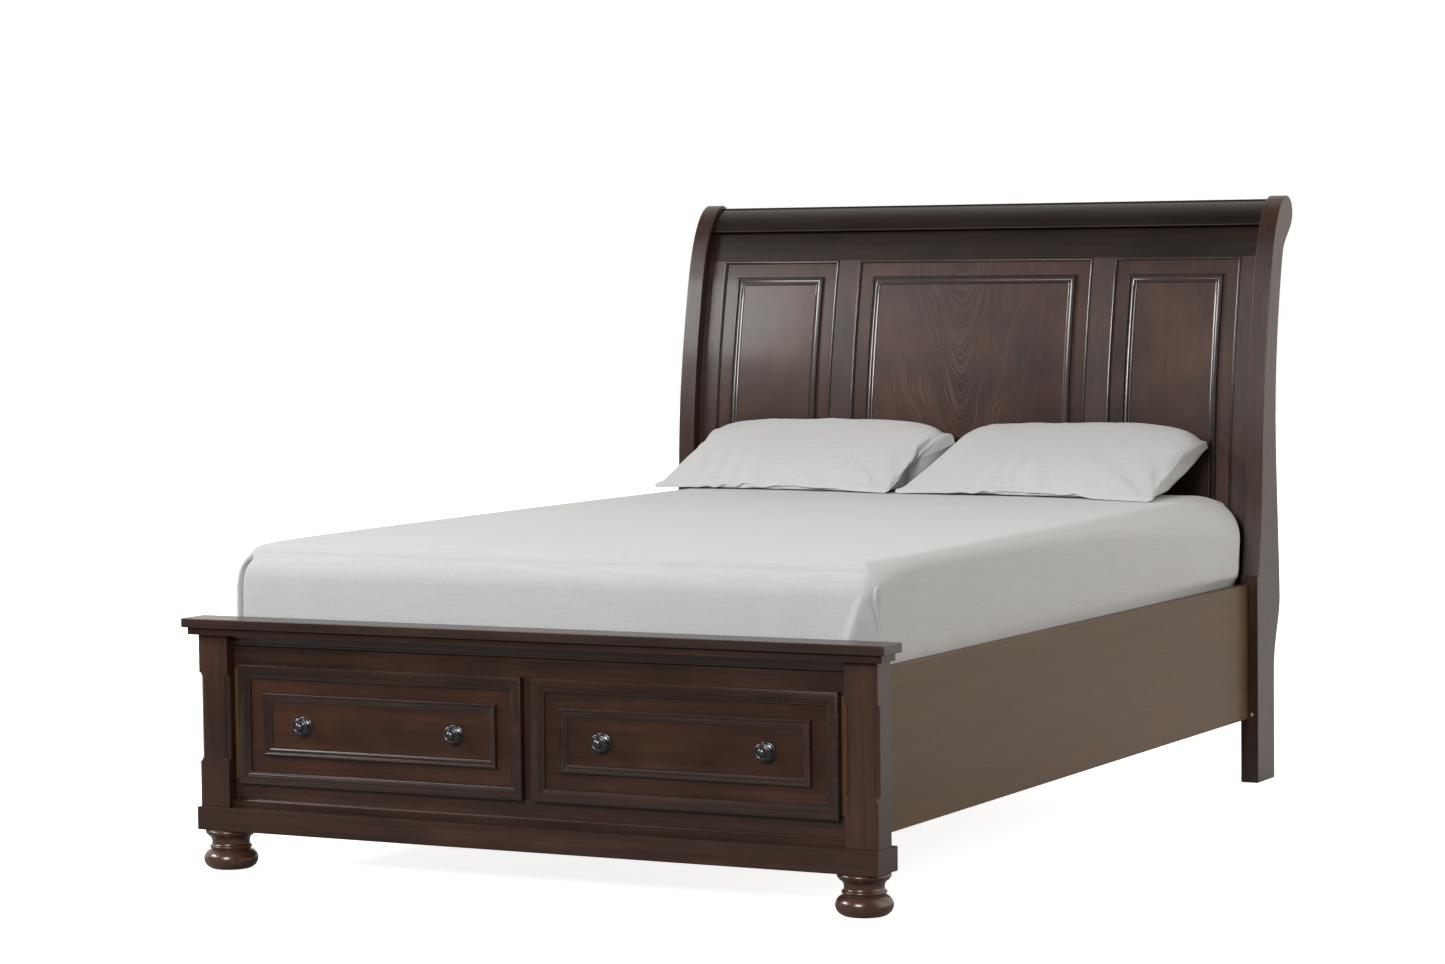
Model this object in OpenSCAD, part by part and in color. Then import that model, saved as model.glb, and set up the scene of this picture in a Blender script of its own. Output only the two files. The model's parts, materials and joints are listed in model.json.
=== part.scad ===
// Sleigh bed with two storage drawers in the footboard.
// Millimetres. +X is across the bed, +Y runs from the foot to the head, +Z is up.
// The origin is on the floor, at the middle of the bed's length and width.

/* [Overall] */
// Overall length, front of the footboard cap to the back of the headboard scroll
bed_length = 2464; // [2440:1:2520]
// Outer width across the two headboard posts
headboard_width = 1639; // [1630:1:1650]
// Outer width across the two footboard posts
footboard_width = 1630; // [1620:1:1640]
// Outer width across the two side rails
rail_width = 1590; // [1580:1:1600]

/* [Headboard] */
// Width of a headboard post, across the bed
post_width = 45; // [40:1:50]
// Set-back of the stiles and rails behind the front edge of the posts
frame_setback = 30; // [26:1:34]
// Thickness of the stiles and rails
frame_thick = 24; // [22:1:26]
// Height of the bottom edge of the panels
panel_bottom = 520; // [500:5:560]
// Height of the top edge of the panels
panel_top = 1302; // [1290:1:1310]
// Half width of the middle panel
panel_half = 330; // [320:1:335]
// Inner and outer edges of the side panels, measured from the middle
panel_inner = 389; // [385:1:395]
panel_outer = 728; // [720:1:735]
// Height of the lower edge of the crest rail
crest_bottom = 1378; // [1370:1:1384]

/* [Footboard] */
// Height of the top of the cap
cap_top = 548; // [544:1:552]
// Overall width of the cap
cap_width = 1684; // [1680:2:1690]
// Thickness of the cap slab and of the layer under it
cap_thick = 20; // [18:1:22]
cap_layer = 16; // [14:1:18]
// Top and bottom of the plinth
plinth_top = 137; // [134:1:140]
plinth_bottom = 87; // [85:1:90]
// Width of the plinth
plinth_width = 1636; // [1632:2:1640]
// Width and depth of a footboard post
foot_post_width = 74; // [70:1:78]
foot_post_depth = 59; // [56:1:62]

/* [Drawers] */
// Width and height of a drawer front
front_width = 709; // [700:1:710]
front_height = 258; // [254:1:260]
// Distance of a drawer's middle from the middle of the bed
drawer_middle = 367; // [366:1:368]
// Height of the bottom edge of a drawer front
front_bottom = 190; // [188:1:192]
// Depth and height of the drawer box
box_depth = 446; // [430:1:450]
box_height = 180; // [160:1:184]
// Distance between the two knobs of one drawer
knob_spacing = 379; // [360:1:400]

/* [Side rails] */
// Bottom and top of a side rail
rail_bottom = 159; // [155:1:165]
rail_top = 492; // [488:1:496]
// Thickness of a side rail
rail_thick = 25; // [22:1:26]

/* [Slats] */
// Number of slats
slat_count = 12; // [10:1:14]
// Width and thickness of a slat
slat_width = 75; // [60:1:80]
slat_thick = 18; // [16:1:18]

/* [Bedding] */
// Width, length and thickness of the mattress
mattress_width = 1536; // [1524:2:1538]
mattress_length = 2124; // [2100:1:2126]
mattress_thick = 280; // [250:5:285]

/* [Hidden] */

wood = [0.20, 0.12, 0.09];
wood_inside = [0.62, 0.50, 0.36];
pewter = [0.20, 0.20, 0.20];
steel = [0.62, 0.63, 0.65];
linen = [0.82, 0.82, 0.81];
$fn = 48;

// ---- Side outline of the headboard posts: [depth, height] from the leg's front face ----

leg_depth = 120;
leg_top = 512;
head_depth = 267;
front_curves = [
    [[9, leg_top], [25, 600], [36, 690], [39, 790]],
    [[39, 790], [43, 950], [75, 1110], [103, 1245]],
    [[103, 1245], [119, 1320], [155, 1440], [223, 1452]]
];
scroll_curves = [
    [[223, 1452], [250, 1452], [head_depth, 1434], [head_depth, 1408]],
    [[head_depth, 1408], [head_depth, 1372], [214, 1352], [197, 1316]]
];
back_curves = [
    [[197, 1316], [175, 1240], [141, 1080], [139, 930]],
    [[139, 930], [138, 780], [158, 600], [164, 460]],
    [[164, 460], [168, 400], [leg_depth, 350], [leg_depth, 268]]
];
curve_steps = 9;

// Point of a cubic curve at t, and its direction
function curve_at(c, t) =
    pow(1 - t, 3) * c[0] + 3 * t * pow(1 - t, 2) * c[1] + 3 * t * t * (1 - t) * c[2] + pow(t, 3) * c[3];
function curve_dir(c, t) =
    3 * pow(1 - t, 2) * (c[1] - c[0]) + 6 * t * (1 - t) * (c[2] - c[1]) + 3 * t * t * (c[3] - c[2]);
// Point moved to the right of the direction of travel, into the post
function curve_inset(c, t, d) =
    let (v = curve_dir(c, t), n = v / norm(v)) curve_at(c, t) + d * [n[1], -n[0]];
function curve_points(curves, d = 0) =
    [for (c = curves, i = [0:curve_steps - 1]) curve_inset(c, i / curve_steps, d)];

post_outline = concat(
    [[0, 0], [0, leg_top]],
    curve_points(front_curves), curve_points(scroll_curves), curve_points(back_curves),
    [[leg_depth, 268], [leg_depth, 0]]
);
// Height-to-depth table of the post's front edge, for the bent frame and panels
front_table = [for (p = curve_points(front_curves)) [p[1], p[0]]];
function front_at(z) = lookup(z, front_table);

// ---- Derived sizes ----

post_in = headboard_width / 2 - post_width;
foot_post_out = footboard_width / 2;
foot_post_in = foot_post_out - foot_post_width;
cap_depth = 86;
cap_inset = 10;
post_front = 27;
post_back = post_front + foot_post_depth;
post_top = cap_top - cap_thick - cap_layer;
face = 54;
face_back = 76;
opening_bottom = 198;
opening_top = 440;
opening_inner = 20;
opening_outer = 716;
case_bottom = 165;
case_end = 540;
leg_front = bed_length - head_depth;
rail_out = rail_width / 2;
rail_in = rail_out - rail_thick;
slat_top = 430;
slat_bottom = slat_top - slat_thick;
case_top = slat_bottom;
cleat_width = 22;
cleat_height = 40;

// Drawer front: frame, panel and moulding, in depth behind the cap's front face
frame_front = 37.5;
frame_band = 28;
rebate = 6;
panel_front = frame_front + 10;
front_back = frame_front + 16;
moulding_width = 583;
moulding_height = 135;
moulding_thick = 8;
front_middle = front_bottom + front_height / 2;
knob_height = 321;
knob_screw_r = 2.5;
screw_in_knob = 9;

// Drawer box and slides
slide_gap = 13;
box_in = opening_inner + slide_gap;
box_out = opening_outer - slide_gap;
box_wall = 12;
box_floor = 215;
bottom_low = 222;
bottom_high = 228;
groove = 5;
slide_start = 80;
slide_length = 450;
slide_height = 300;

// ---- Helpers ----

module at_foot() { translate([0, -bed_length / 2, 0]) children(); }
module at_head() { translate([0, bed_length / 2 - head_depth, 0]) children(); }
module block(a, b) { translate(a) cube(b - a); }
// Outline in depth and height, extruded across the bed
module along_x(x0, x1) { translate([x0, 0, 0]) rotate([90, 0, 90]) linear_extrude(x1 - x0) children(); }
module both_sides() { children(); mirror([1, 0, 0]) children(); }

// Strip that follows the bent headboard, from z0 to z1 and from depth d0 to d1 behind the front edge
function strip_heights(z0, z1) =
    concat([z0], [for (p = front_table) if (p[0] > z0 + 0.01 && p[0] < z1 - 0.01) p[0]], [z1]);
function strip_outline(z0, z1, d0, d1) = let (zs = strip_heights(z0, z1)) concat(
    [for (z = zs) [front_at(z) + d0, z]],
    [for (i = [len(zs) - 1:-1:0]) [front_at(zs[i]) + d1, zs[i]]]
);
module strip(x0, x1, z0, z1, d0, d1) { along_x(x0, x1) polygon(strip_outline(z0, z1, d0, d1)); }
// Four-sided bent frame of the given band width around an opening
module bent_frame(x0, x1, z0, z1, band, d0, d1) {
    difference() {
        strip(x0, x1, z0, z1, d0, d1);
        strip(x0 + band, x1 - band, z0 + band, z1 - band, d0 - 5, d1 + 5);
    }
}

// ---- Headboard ----

panel_groove = 8;
panel_depth = 34;
panel_thick = 12;
bead_width = 8;
bead_depth = 27;
moulding_margin = 43;
head_moulding_outer = 8;
head_moulding_band = 22;

module hook_slots_head() {
    for (z = hook_heights)
        block([hook_x - hook_slot / 2, -1, z - hook_slot_height / 2],
              [hook_x + hook_slot / 2, hook_reach + 1, z + hook_slot_height / 2]);
}
module headboard_post() {
    at_head() difference() {
        along_x(post_in, headboard_width / 2) polygon(post_outline);
        hook_slots_head();
    }
}
module headboard_post_left() { color(wood) mirror([1, 0, 0]) headboard_post(); }
module headboard_post_right() { color(wood) headboard_post(); }

crest_inset = 12;
crest_outline = concat(
    [for (p = curve_points([front_curves[2]], crest_inset)) if (p[1] > crest_bottom + 3) p],
    curve_points(scroll_curves, crest_inset / 1.5)
);
crest_kept = [for (p = crest_outline) if (p[1] > crest_bottom + 3) p];
module crest_rail() {
    front_y = front_at(crest_bottom) + crest_inset + 1;
    back_y = crest_kept[len(crest_kept) - 1][0] - 6;
    color(wood) at_head() along_x(-post_in, post_in)
        polygon(concat([[front_y + 3, crest_bottom], [front_y, crest_bottom + 3]], crest_kept,
                       [[back_y, crest_bottom]]));
}

frame_back = frame_setback + frame_thick;
module panel_slot(x0, x1) {
    strip(x0 - panel_groove, x1 + panel_groove, panel_bottom - panel_groove,
          panel_top + panel_groove, panel_depth, panel_depth + panel_thick);
}
module panel_slots() {
    panel_slot(-panel_half, panel_half);
    both_sides() panel_slot(panel_inner, panel_outer);
}
module headboard_top_rail() {
    color(wood) at_head() difference() {
        strip(-post_in, post_in, panel_top, crest_bottom, frame_setback, frame_back);
        panel_slots();
    }
}
module headboard_bottom_rail() {
    color(wood) at_head() difference() {
        strip(-post_in, post_in, rail_bottom + 171, panel_bottom, frame_setback, frame_back);
        panel_slots();
    }
}
module stile(x0, x1) {
    difference() {
        strip(x0, x1, panel_bottom, panel_top, frame_setback, frame_back);
        panel_slots();
    }
}
module headboard_stiles() {
    color(wood) at_head() both_sides() {
        stile(panel_outer, post_in);
        stile(panel_half, panel_inner);
    }
}
module headboard_panel_center() { color(wood) at_head() panel_slot(-panel_half, panel_half); }
module headboard_panels_side() {
    color(wood) at_head() both_sides() panel_slot(panel_inner, panel_outer);
}

module head_moulding(x0, x1) {
    m = moulding_margin;
    o = head_moulding_outer;
    bent_frame(x0 + m, x1 - m, panel_bottom + m, panel_top - m, o, panel_depth - 9, panel_depth);
    bent_frame(x0 + m + o, x1 - m - o, panel_bottom + m + o, panel_top - m - o,
               head_moulding_band - o, panel_depth - 6, panel_depth);
}
module panel_mouldings() {
    color(wood) at_head() {
        head_moulding(-panel_half, panel_half);
        both_sides() head_moulding(panel_inner, panel_outer);
    }
}
module bead(x0, x1) {
    bent_frame(x0, x1, panel_bottom, panel_top, bead_width, bead_depth, panel_depth);
}
module panel_beads() {
    color(wood) at_head() {
        bead(-panel_half, panel_half);
        both_sides() bead(panel_inner, panel_outer);
    }
}
sheet_gap = 0.1;
sheet_thick = 6;
module headboard_back_sheet() {
    color(wood) at_head()
        strip(-post_in, post_in, rail_bottom + 241, crest_bottom - 18,
              frame_back + sheet_gap, frame_back + sheet_gap + sheet_thick);
}

// ---- Footboard ----

chamfer = 10;
chamfer_bottom = 235;
chamfer_top = 430;
chamfer_stop_r = 15;
// Cutter for a stopped chamfer: its flat face, and a rounded run-out at each end
module chamfer_cutter() {
    sink = chamfer / sqrt(2);
    run = sqrt(pow(chamfer_stop_r, 2) - pow(chamfer_stop_r - sink, 2));
    rotate([90, 0, 0]) translate([0, 0, -chamfer * 2]) linear_extrude(chamfer * 4) {
        translate([-chamfer_stop_r, chamfer_bottom + run])
            square([chamfer_stop_r + sink, chamfer_top - chamfer_bottom - 2 * run]);
        for (z = [chamfer_bottom + run, chamfer_top - run])
            translate([sink - chamfer_stop_r, z]) circle(chamfer_stop_r);
    }
}
module footboard_post() {
    at_foot() difference() {
        block([foot_post_in, post_front, plinth_top], [foot_post_out, post_back, post_top]);
        translate([foot_post_in, post_front, 0]) rotate([0, 0, 45]) chamfer_cutter();
        translate([foot_post_out, post_front, 0]) rotate([0, 0, 135]) chamfer_cutter();
        for (z = hook_heights)
            block([hook_x - hook_slot / 2, post_back - hook_reach - 1, z - hook_slot_height / 2],
                  [hook_x + hook_slot / 2, post_back + 1, z + hook_slot_height / 2]);
    }
}
module footboard_post_left() { color(wood) mirror([1, 0, 0]) footboard_post(); }
module footboard_post_right() { color(wood) footboard_post(); }
module footboard_cap() {
    color(wood) at_foot()
        block([-cap_width / 2, 0, cap_top - cap_thick], [cap_width / 2, cap_depth, cap_top]);
}
module footboard_cap_layer() {
    half = cap_width / 2 - cap_inset;
    color(wood) at_foot()
        block([-half, cap_inset, post_top], [half, cap_depth - cap_inset, cap_top - cap_thick]);
}
module footboard_apron_moulding() {
    color(wood) at_foot() along_x(-foot_post_in, foot_post_in)
        polygon([[face, post_top - 25], [face, post_top], [42, post_top], [42, post_top - 19],
                 [44, post_top - 20], [47, post_top - 20], [48, post_top - 25]]);
}
module footboard_top_rail() {
    color(wood) at_foot()
        block([-foot_post_in, face, opening_top], [foot_post_in, face_back, post_top]);
}
module footboard_center_stile() {
    color(wood) at_foot()
        block([-opening_inner, face, opening_bottom], [opening_inner, face_back, opening_top]);
}
module footboard_bottom_rail() {
    color(wood) at_foot()
        block([-foot_post_in, face, plinth_top], [foot_post_in, face_back, opening_bottom]);
}

plinth_front = 15.5;
plinth_depth = 92;
foot_x = 764.5;
foot_y = 63;
foot_bolt_r = 4;
module foot_bolt(z0, z1) {
    translate([foot_x, foot_y, z0]) cylinder(h = z1 - z0, r = foot_bolt_r);
}
module plinth() {
    color(wood) at_foot() difference() {
        block([-plinth_width / 2, plinth_front, plinth_bottom],
              [plinth_width / 2, plinth_front + plinth_depth, plinth_top]);
        both_sides() foot_bolt(plinth_bottom - 1, plinth_top - 12);
    }
}
module plinth_moulding() {
    color(wood) at_foot() along_x(-foot_post_in, foot_post_in)
        polygon([[face, plinth_top], [43, plinth_top], [43, plinth_top + 14],
                 [46, plinth_top + 19], [face, plinth_top + 19]]);
}

function arc(cx, cz, rx, rz, a0, a1, n) =
    [for (i = [0:n]) let (a = a0 + (a1 - a0) * i / n) [cx + rx * cos(a), cz + rz * sin(a)]];
bun_outline = concat(
    [[0, 0]],
    arc(35, 22, 24, 22, -90, 72, 12),
    arc(43, 48.5, 3.2, 3.2, -70, 70, 6),
    arc(54, 59, 13, 15, 200, 110, 6),
    arc(49.5, 81.5, 5.5, 5.3, -60, 75, 6),
    [[49, plinth_bottom], [0, plinth_bottom]]
);
module bun_foot() {
    at_foot() difference() {
        translate([foot_x, foot_y, 0]) rotate_extrude($fn = 72) polygon(bun_outline);
        foot_bolt(45, plinth_bottom + 1);
    }
}
module bun_foot_left() { color(wood) mirror([1, 0, 0]) bun_foot(); }
module bun_foot_right() { color(wood) bun_foot(); }
module foot_bolts() { color(steel) at_foot() both_sides() foot_bolt(45, plinth_top - 12); }

// ---- Drawer case and slides ----

module case_partitions() {
    color(wood) at_foot() {
        both_sides() {
            block([opening_outer, face, opening_bottom], [foot_post_in, face_back, opening_top]);
            block([opening_outer, face_back, case_bottom], [foot_post_in, case_end, case_top]);
        }
        block([-opening_inner, face_back, case_bottom], [opening_inner, case_end, case_top]);
    }
}
module case_back() {
    color(wood) at_foot() block([-rail_in, case_end, case_bottom], [rail_in, case_end + 15, case_top]);
}

// Slide section as [distance from the wall, half height]: a plate and its two lips
module slide_member(plate0, plate1, lip0, lip1, half) {
    lip = 1.2;
    translate([0, slide_start, slide_height]) {
        block([plate0, 0, -half], [plate1, slide_length, half]);
        block([lip0, 0, half - lip], [lip1, slide_length, half]);
        block([lip0, 0, -half], [lip1, slide_length, lip - half]);
    }
}
// A pair of members, one on each wall of a drawer's bay
module slide_pair(plate0, plate1, lip0, lip1, half) {
    translate([opening_inner, 0, 0]) slide_member(plate0, plate1, lip0, lip1, half);
    translate([opening_outer, 0, 0]) mirror([1, 0, 0]) slide_member(plate0, plate1, lip0, lip1, half);
}
module slide_outer_pair() { slide_pair(0, 1.2, 0, 10.5, 22.5); }
module slide_mid_pair() { slide_pair(5.2, 6.4, 3, 9.5, 19); }
module slide_inner_pair() { slide_pair(11.8, slide_gap, 7.6, slide_gap, 14); }
module slide_outer_members() { color(steel) at_foot() both_sides() slide_outer_pair(); }
module slide_left_mid_members() { color(steel) at_foot() mirror([1, 0, 0]) slide_mid_pair(); }
module slide_right_mid_members() { color(steel) at_foot() slide_mid_pair(); }

// ---- Drawers, drawn on the right and mirrored for the left ----

// Mitred frame: the section is [distance in from the edge, depth], w by h around the middle
module mitred_side(length, depth, section) {
    reach = max([for (p = section) p[0]]);
    intersection() {
        rotate([90, 0, 90]) translate([0, 0, -length / 2])
            linear_extrude(length) polygon([for (p = section) [p[1], p[0]]]);
        translate([0, depth + 1, 0]) rotate([90, 0, 0]) linear_extrude(depth + 2)
            polygon([[-length / 2, 0], [length / 2, 0], [length / 2 - reach, reach],
                     [reach - length / 2, reach]]);
    }
}
module mitred_frame(w, h, depth, section) {
    translate([0, 0, -h / 2]) mitred_side(w, depth, section);
    translate([0, 0, h / 2]) rotate([0, 180, 0]) mitred_side(w, depth, section);
    translate([w / 2, 0, 0]) rotate([0, -90, 0]) mitred_side(h, depth, section);
    translate([-w / 2, 0, 0]) rotate([0, 90, 0]) mitred_side(h, depth, section);
}
frame_section = [[0, 16], [0, 1], [1, 0], [16, 0], [18, 1.2], [22, 2.2], [26, 5.5],
                 [frame_band, 6], [frame_band, 10], [frame_band - rebate, 10], [frame_band - rebate, 16]];
moulding_section = [[0, 8], [0, 1.5], [1.5, 0], [5, 0], [7, 1.8], [12, 3], [16, 5.4], [19, 6], [19, 8]];

module knob_places() {
    for (s = [-1, 1]) translate([drawer_middle + s * knob_spacing / 2, 0, knob_height]) children();
}
module knob_holes() {
    knob_places() translate([0, 60, 0]) rotate([90, 0, 0]) cylinder(h = 40, r = knob_screw_r, center = true);
}
module drawer_frame() {
    at_foot() translate([drawer_middle, frame_front, front_middle])
        mitred_frame(front_width, front_height, 16, frame_section);
}
module drawer_panel() {
    w = front_width / 2 - frame_band + rebate;
    h = front_height / 2 - frame_band + rebate;
    at_foot() difference() {
        block([drawer_middle - w, panel_front, front_middle - h],
              [drawer_middle + w, front_back, front_middle + h]);
        knob_holes();
    }
}
module drawer_moulding() {
    at_foot() translate([drawer_middle, panel_front - moulding_thick, knob_height])
        mitred_frame(moulding_width, moulding_height, moulding_thick, moulding_section);
}
module drawer_box_front() {
    at_foot() difference() {
        block([box_in, front_back, box_floor], [box_out, front_back + box_wall, box_floor + box_height]);
        knob_holes();
    }
}
box_start = front_back + box_wall;
box_end = front_back + box_depth;
module drawer_bottom() {
    at_foot() block([box_in + box_wall - groove, box_start, bottom_low],
                    [box_out - box_wall + groove, box_end, bottom_high]);
}
module drawer_sides() {
    at_foot() for (x = [box_in, box_out - box_wall])
        difference() {
            block([x, box_start, box_floor], [x + box_wall, box_end, box_floor + box_height]);
            block([box_in + box_wall - groove, box_start - 1, bottom_low],
                  [box_out - box_wall + groove, box_end + 1, bottom_high]);
        }
}
module drawer_back() {
    at_foot() block([box_in + box_wall, box_end - box_wall, bottom_high],
                    [box_out - box_wall, box_end, box_floor + box_height]);
}
// Knob outline: radius against distance out from the drawer panel
knob_outline = concat(
    [[0, 0], [19, 0], [20, 1], [19.2, 2.6], [13, 4], [8.5, 6.5], [7.5, 10], [8.5, 14], [14, 16.5]],
    [[18, 17.5], [18.8, 19], [18, 20.6], [15.5, 21.2], [14.6, 22.4], [12.6, 22.8], [11.4, 22.2]],
    arc(0, 20, 11, 9, 12, 88, 8),
    [[0, 29]]
);
module drawer_knobs() {
    at_foot() knob_places() {
        difference() {
            translate([0, panel_front, 0]) rotate([90, 0, 0])
                rotate_extrude($fn = 64) polygon(knob_outline);
            translate([0, panel_front + 1, 0]) rotate([90, 0, 0])
                cylinder(h = screw_in_knob + 1, r = knob_screw_r);
        }
    }
}
module drawer_knob_screws() {
    at_foot() knob_places() {
        translate([0, panel_front - screw_in_knob, 0]) rotate([-90, 0, 0])
            cylinder(h = screw_in_knob + box_start - panel_front, r = knob_screw_r);
        translate([0, box_start, 0]) rotate([-90, 0, 0]) cylinder(h = 3, r = 5);
    }
}

module drawer_right_frame() { color(wood) drawer_frame(); }
module drawer_right_panel() { color(wood) drawer_panel(); }
module drawer_right_moulding() { color(wood) drawer_moulding(); }
module drawer_right_box_front() { color(wood_inside) drawer_box_front(); }
module drawer_right_sides() { color(wood_inside) drawer_sides(); }
module drawer_right_back() { color(wood_inside) drawer_back(); }
module drawer_right_bottom() { color(wood_inside) drawer_bottom(); }
module drawer_right_knobs() { color(pewter) drawer_knobs(); }
module drawer_right_knob_screws() { color(steel) drawer_knob_screws(); }
module drawer_right_slide_members() { color(steel) at_foot() slide_inner_pair(); }
module drawer_left_frame() { mirror([1, 0, 0]) drawer_right_frame(); }
module drawer_left_panel() { mirror([1, 0, 0]) drawer_right_panel(); }
module drawer_left_moulding() { mirror([1, 0, 0]) drawer_right_moulding(); }
module drawer_left_box_front() { mirror([1, 0, 0]) drawer_right_box_front(); }
module drawer_left_sides() { mirror([1, 0, 0]) drawer_right_sides(); }
module drawer_left_back() { mirror([1, 0, 0]) drawer_right_back(); }
module drawer_left_bottom() { mirror([1, 0, 0]) drawer_right_bottom(); }
module drawer_left_knobs() { mirror([1, 0, 0]) drawer_right_knobs(); }
module drawer_left_knob_screws() { mirror([1, 0, 0]) drawer_right_knob_screws(); }
module drawer_left_slide_members() { mirror([1, 0, 0]) drawer_right_slide_members(); }

// ---- Side rails, hook plates and slats ----

hook_x = rail_out - rail_thick / 2;
hook_thick = 3;
hook_slot = 5;
hook_slot_height = 26;
hook_reach = 14;
hook_heights = [240, 410];
plate_width = 17;
plate_bottom = 200;
plate_top = 450;

// Plate let into a rail's end with two hooks; y is the end face, dir points out of the rail
module hook_plate(y, dir) {
    y0 = min(y, y - dir * hook_thick);
    block([hook_x - plate_width / 2, y0, plate_bottom],
          [hook_x + plate_width / 2, y0 + hook_thick, plate_top]);
    for (z = hook_heights) {
        h0 = min(y, y + dir * hook_reach);
        block([hook_x - hook_thick / 2, h0, z - 10], [hook_x + hook_thick / 2, h0 + hook_reach, z + 10]);
    }
}
module plate_recess(y, dir) {
    y0 = min(y + dir, y - dir * hook_thick);
    block([hook_x - plate_width / 2, y0, plate_bottom],
          [hook_x + plate_width / 2, y0 + hook_thick + 1, plate_top]);
}
module side_rail() {
    at_foot() difference() {
        block([rail_in, post_back, rail_bottom], [rail_out, leg_front, rail_top]);
        plate_recess(post_back, -1);
        plate_recess(leg_front, 1);
    }
}
module side_rail_left() { color(wood) mirror([1, 0, 0]) side_rail(); }
module side_rail_right() { color(wood) side_rail(); }
module rail_hook_plates() {
    color(steel) at_foot() both_sides() {
        hook_plate(post_back, -1);
        hook_plate(leg_front, 1);
    }
}
module rail_cleats() {
    color(wood_inside) at_foot() both_sides()
        block([rail_in - cleat_width, case_end + 15, slat_bottom - cleat_height],
              [rail_in, leg_front - 20, slat_bottom]);
}
// Domed cap over the bolt hole in the front of each headboard leg
cap_x = 803;
cap_z = 170;
cap_r = 5;
module leg_bolt_caps() {
    color(steel) at_head() both_sides() translate([cap_x, 0, cap_z]) rotate([90, 0, 0])
        rotate_extrude($fn = 32) polygon([[0, 0], [cap_r, 0], [cap_r, 0.6], [cap_r - 1.4, 1.8], [0, 2.4]]);
}
slat_first = 140;
slat_last = 2090;
beam_width = 70;
beam_height = 30;
module slats() {
    color(wood_inside) at_foot()
        for (i = [0:slat_count - 1]) {
            y = slat_first + (slat_last - slat_first) * i / (slat_count - 1);
            block([1 - rail_in, y, slat_bottom], [rail_in - 1, y + slat_width, slat_top]);
        }
}
beam_start = case_end + 15;
beam_end = leg_front + front_at(slat_bottom) + frame_setback;
module center_beam() {
    color(wood_inside) at_foot()
        block([-beam_width / 2, beam_start, slat_bottom - beam_height],
              [beam_width / 2, beam_end, slat_bottom]);
}
beam_leg = 45;
beam_leg_places = [900, 1400, 1900];
glide_height = 12;
module center_legs() {
    color(wood_inside) at_foot() for (y = beam_leg_places) {
        block([-beam_leg / 2, y - beam_leg / 2, glide_height],
              [beam_leg / 2, y + beam_leg / 2, slat_bottom - beam_height]);
        translate([0, y, 0]) cylinder(h = glide_height, r = 16);
    }
}

// ---- Bedding ----

mattress_start = 108;
soft_r = 60;
module mattress() {
    z1 = slat_top + 0.3 + mattress_thick;
    color(linen) at_foot() translate([0, mattress_start, 0]) along_x(-mattress_width / 2, mattress_width / 2)
        polygon(concat(
            arc(soft_r, slat_top + 0.3 + soft_r, soft_r, soft_r, 270, 180, 6),
            arc(soft_r, z1 - soft_r, soft_r, soft_r, 180, 90, 6),
            arc(mattress_length - soft_r, z1 - soft_r, soft_r, soft_r, 90, 0, 6),
            arc(mattress_length - soft_r, slat_top + 0.3 + soft_r, soft_r, soft_r, 0, -90, 6)
        ));
}

// Pillow leaning on the headboard: a flattened oval with tapered edges, in side view
pillow_length = 690;
pillow_outline = [[0, 0], [90, -2], [205, 4], [248, 60], [262, 130], [244, 168], [200, 170], [130, 140],
                  [60, 80], [14, 26]];
module pillow() { along_x(-pillow_length / 2, pillow_length / 2) polygon(pillow_outline); }
pillow_z = slat_top + mattress_thick + 4;
pillow_y = 2000;
module pillow_left() { color(linen) at_foot() translate([-425, pillow_y, pillow_z]) pillow(); }
module pillow_right() {
    color(linen) at_foot() translate([322, pillow_y - 95, pillow_z]) rotate([0, 0, -11]) pillow();
}

// ---- Output ----

headboard_post_left();
headboard_post_right();
crest_rail();
headboard_top_rail();
headboard_bottom_rail();
headboard_stiles();
headboard_panel_center();
headboard_panels_side();
panel_mouldings();
panel_beads();
headboard_back_sheet();
footboard_post_left();
footboard_post_right();
footboard_cap();
footboard_cap_layer();
footboard_apron_moulding();
footboard_top_rail();
footboard_center_stile();
footboard_bottom_rail();
plinth();
plinth_moulding();
bun_foot_left();
bun_foot_right();
foot_bolts();
case_partitions();
case_back();
slide_outer_members();
slide_left_mid_members();
slide_right_mid_members();
drawer_left_frame();
drawer_left_panel();
drawer_left_moulding();
drawer_left_box_front();
drawer_left_sides();
drawer_left_back();
drawer_left_bottom();
drawer_left_knobs();
drawer_left_knob_screws();
drawer_left_slide_members();
drawer_right_frame();
drawer_right_panel();
drawer_right_moulding();
drawer_right_box_front();
drawer_right_sides();
drawer_right_back();
drawer_right_bottom();
drawer_right_knobs();
drawer_right_knob_screws();
drawer_right_slide_members();
side_rail_left();
side_rail_right();
rail_cleats();
rail_hook_plates();
leg_bolt_caps();
slats();
center_beam();
center_legs();
mattress();
pillow_left();
pillow_right();
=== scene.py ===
"""Sleigh bed with two storage drawers: its looks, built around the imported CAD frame. Metres."""

import json
import math

import bmesh
import bpy
import numpy as np
from mathutils import Matrix, Vector

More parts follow.
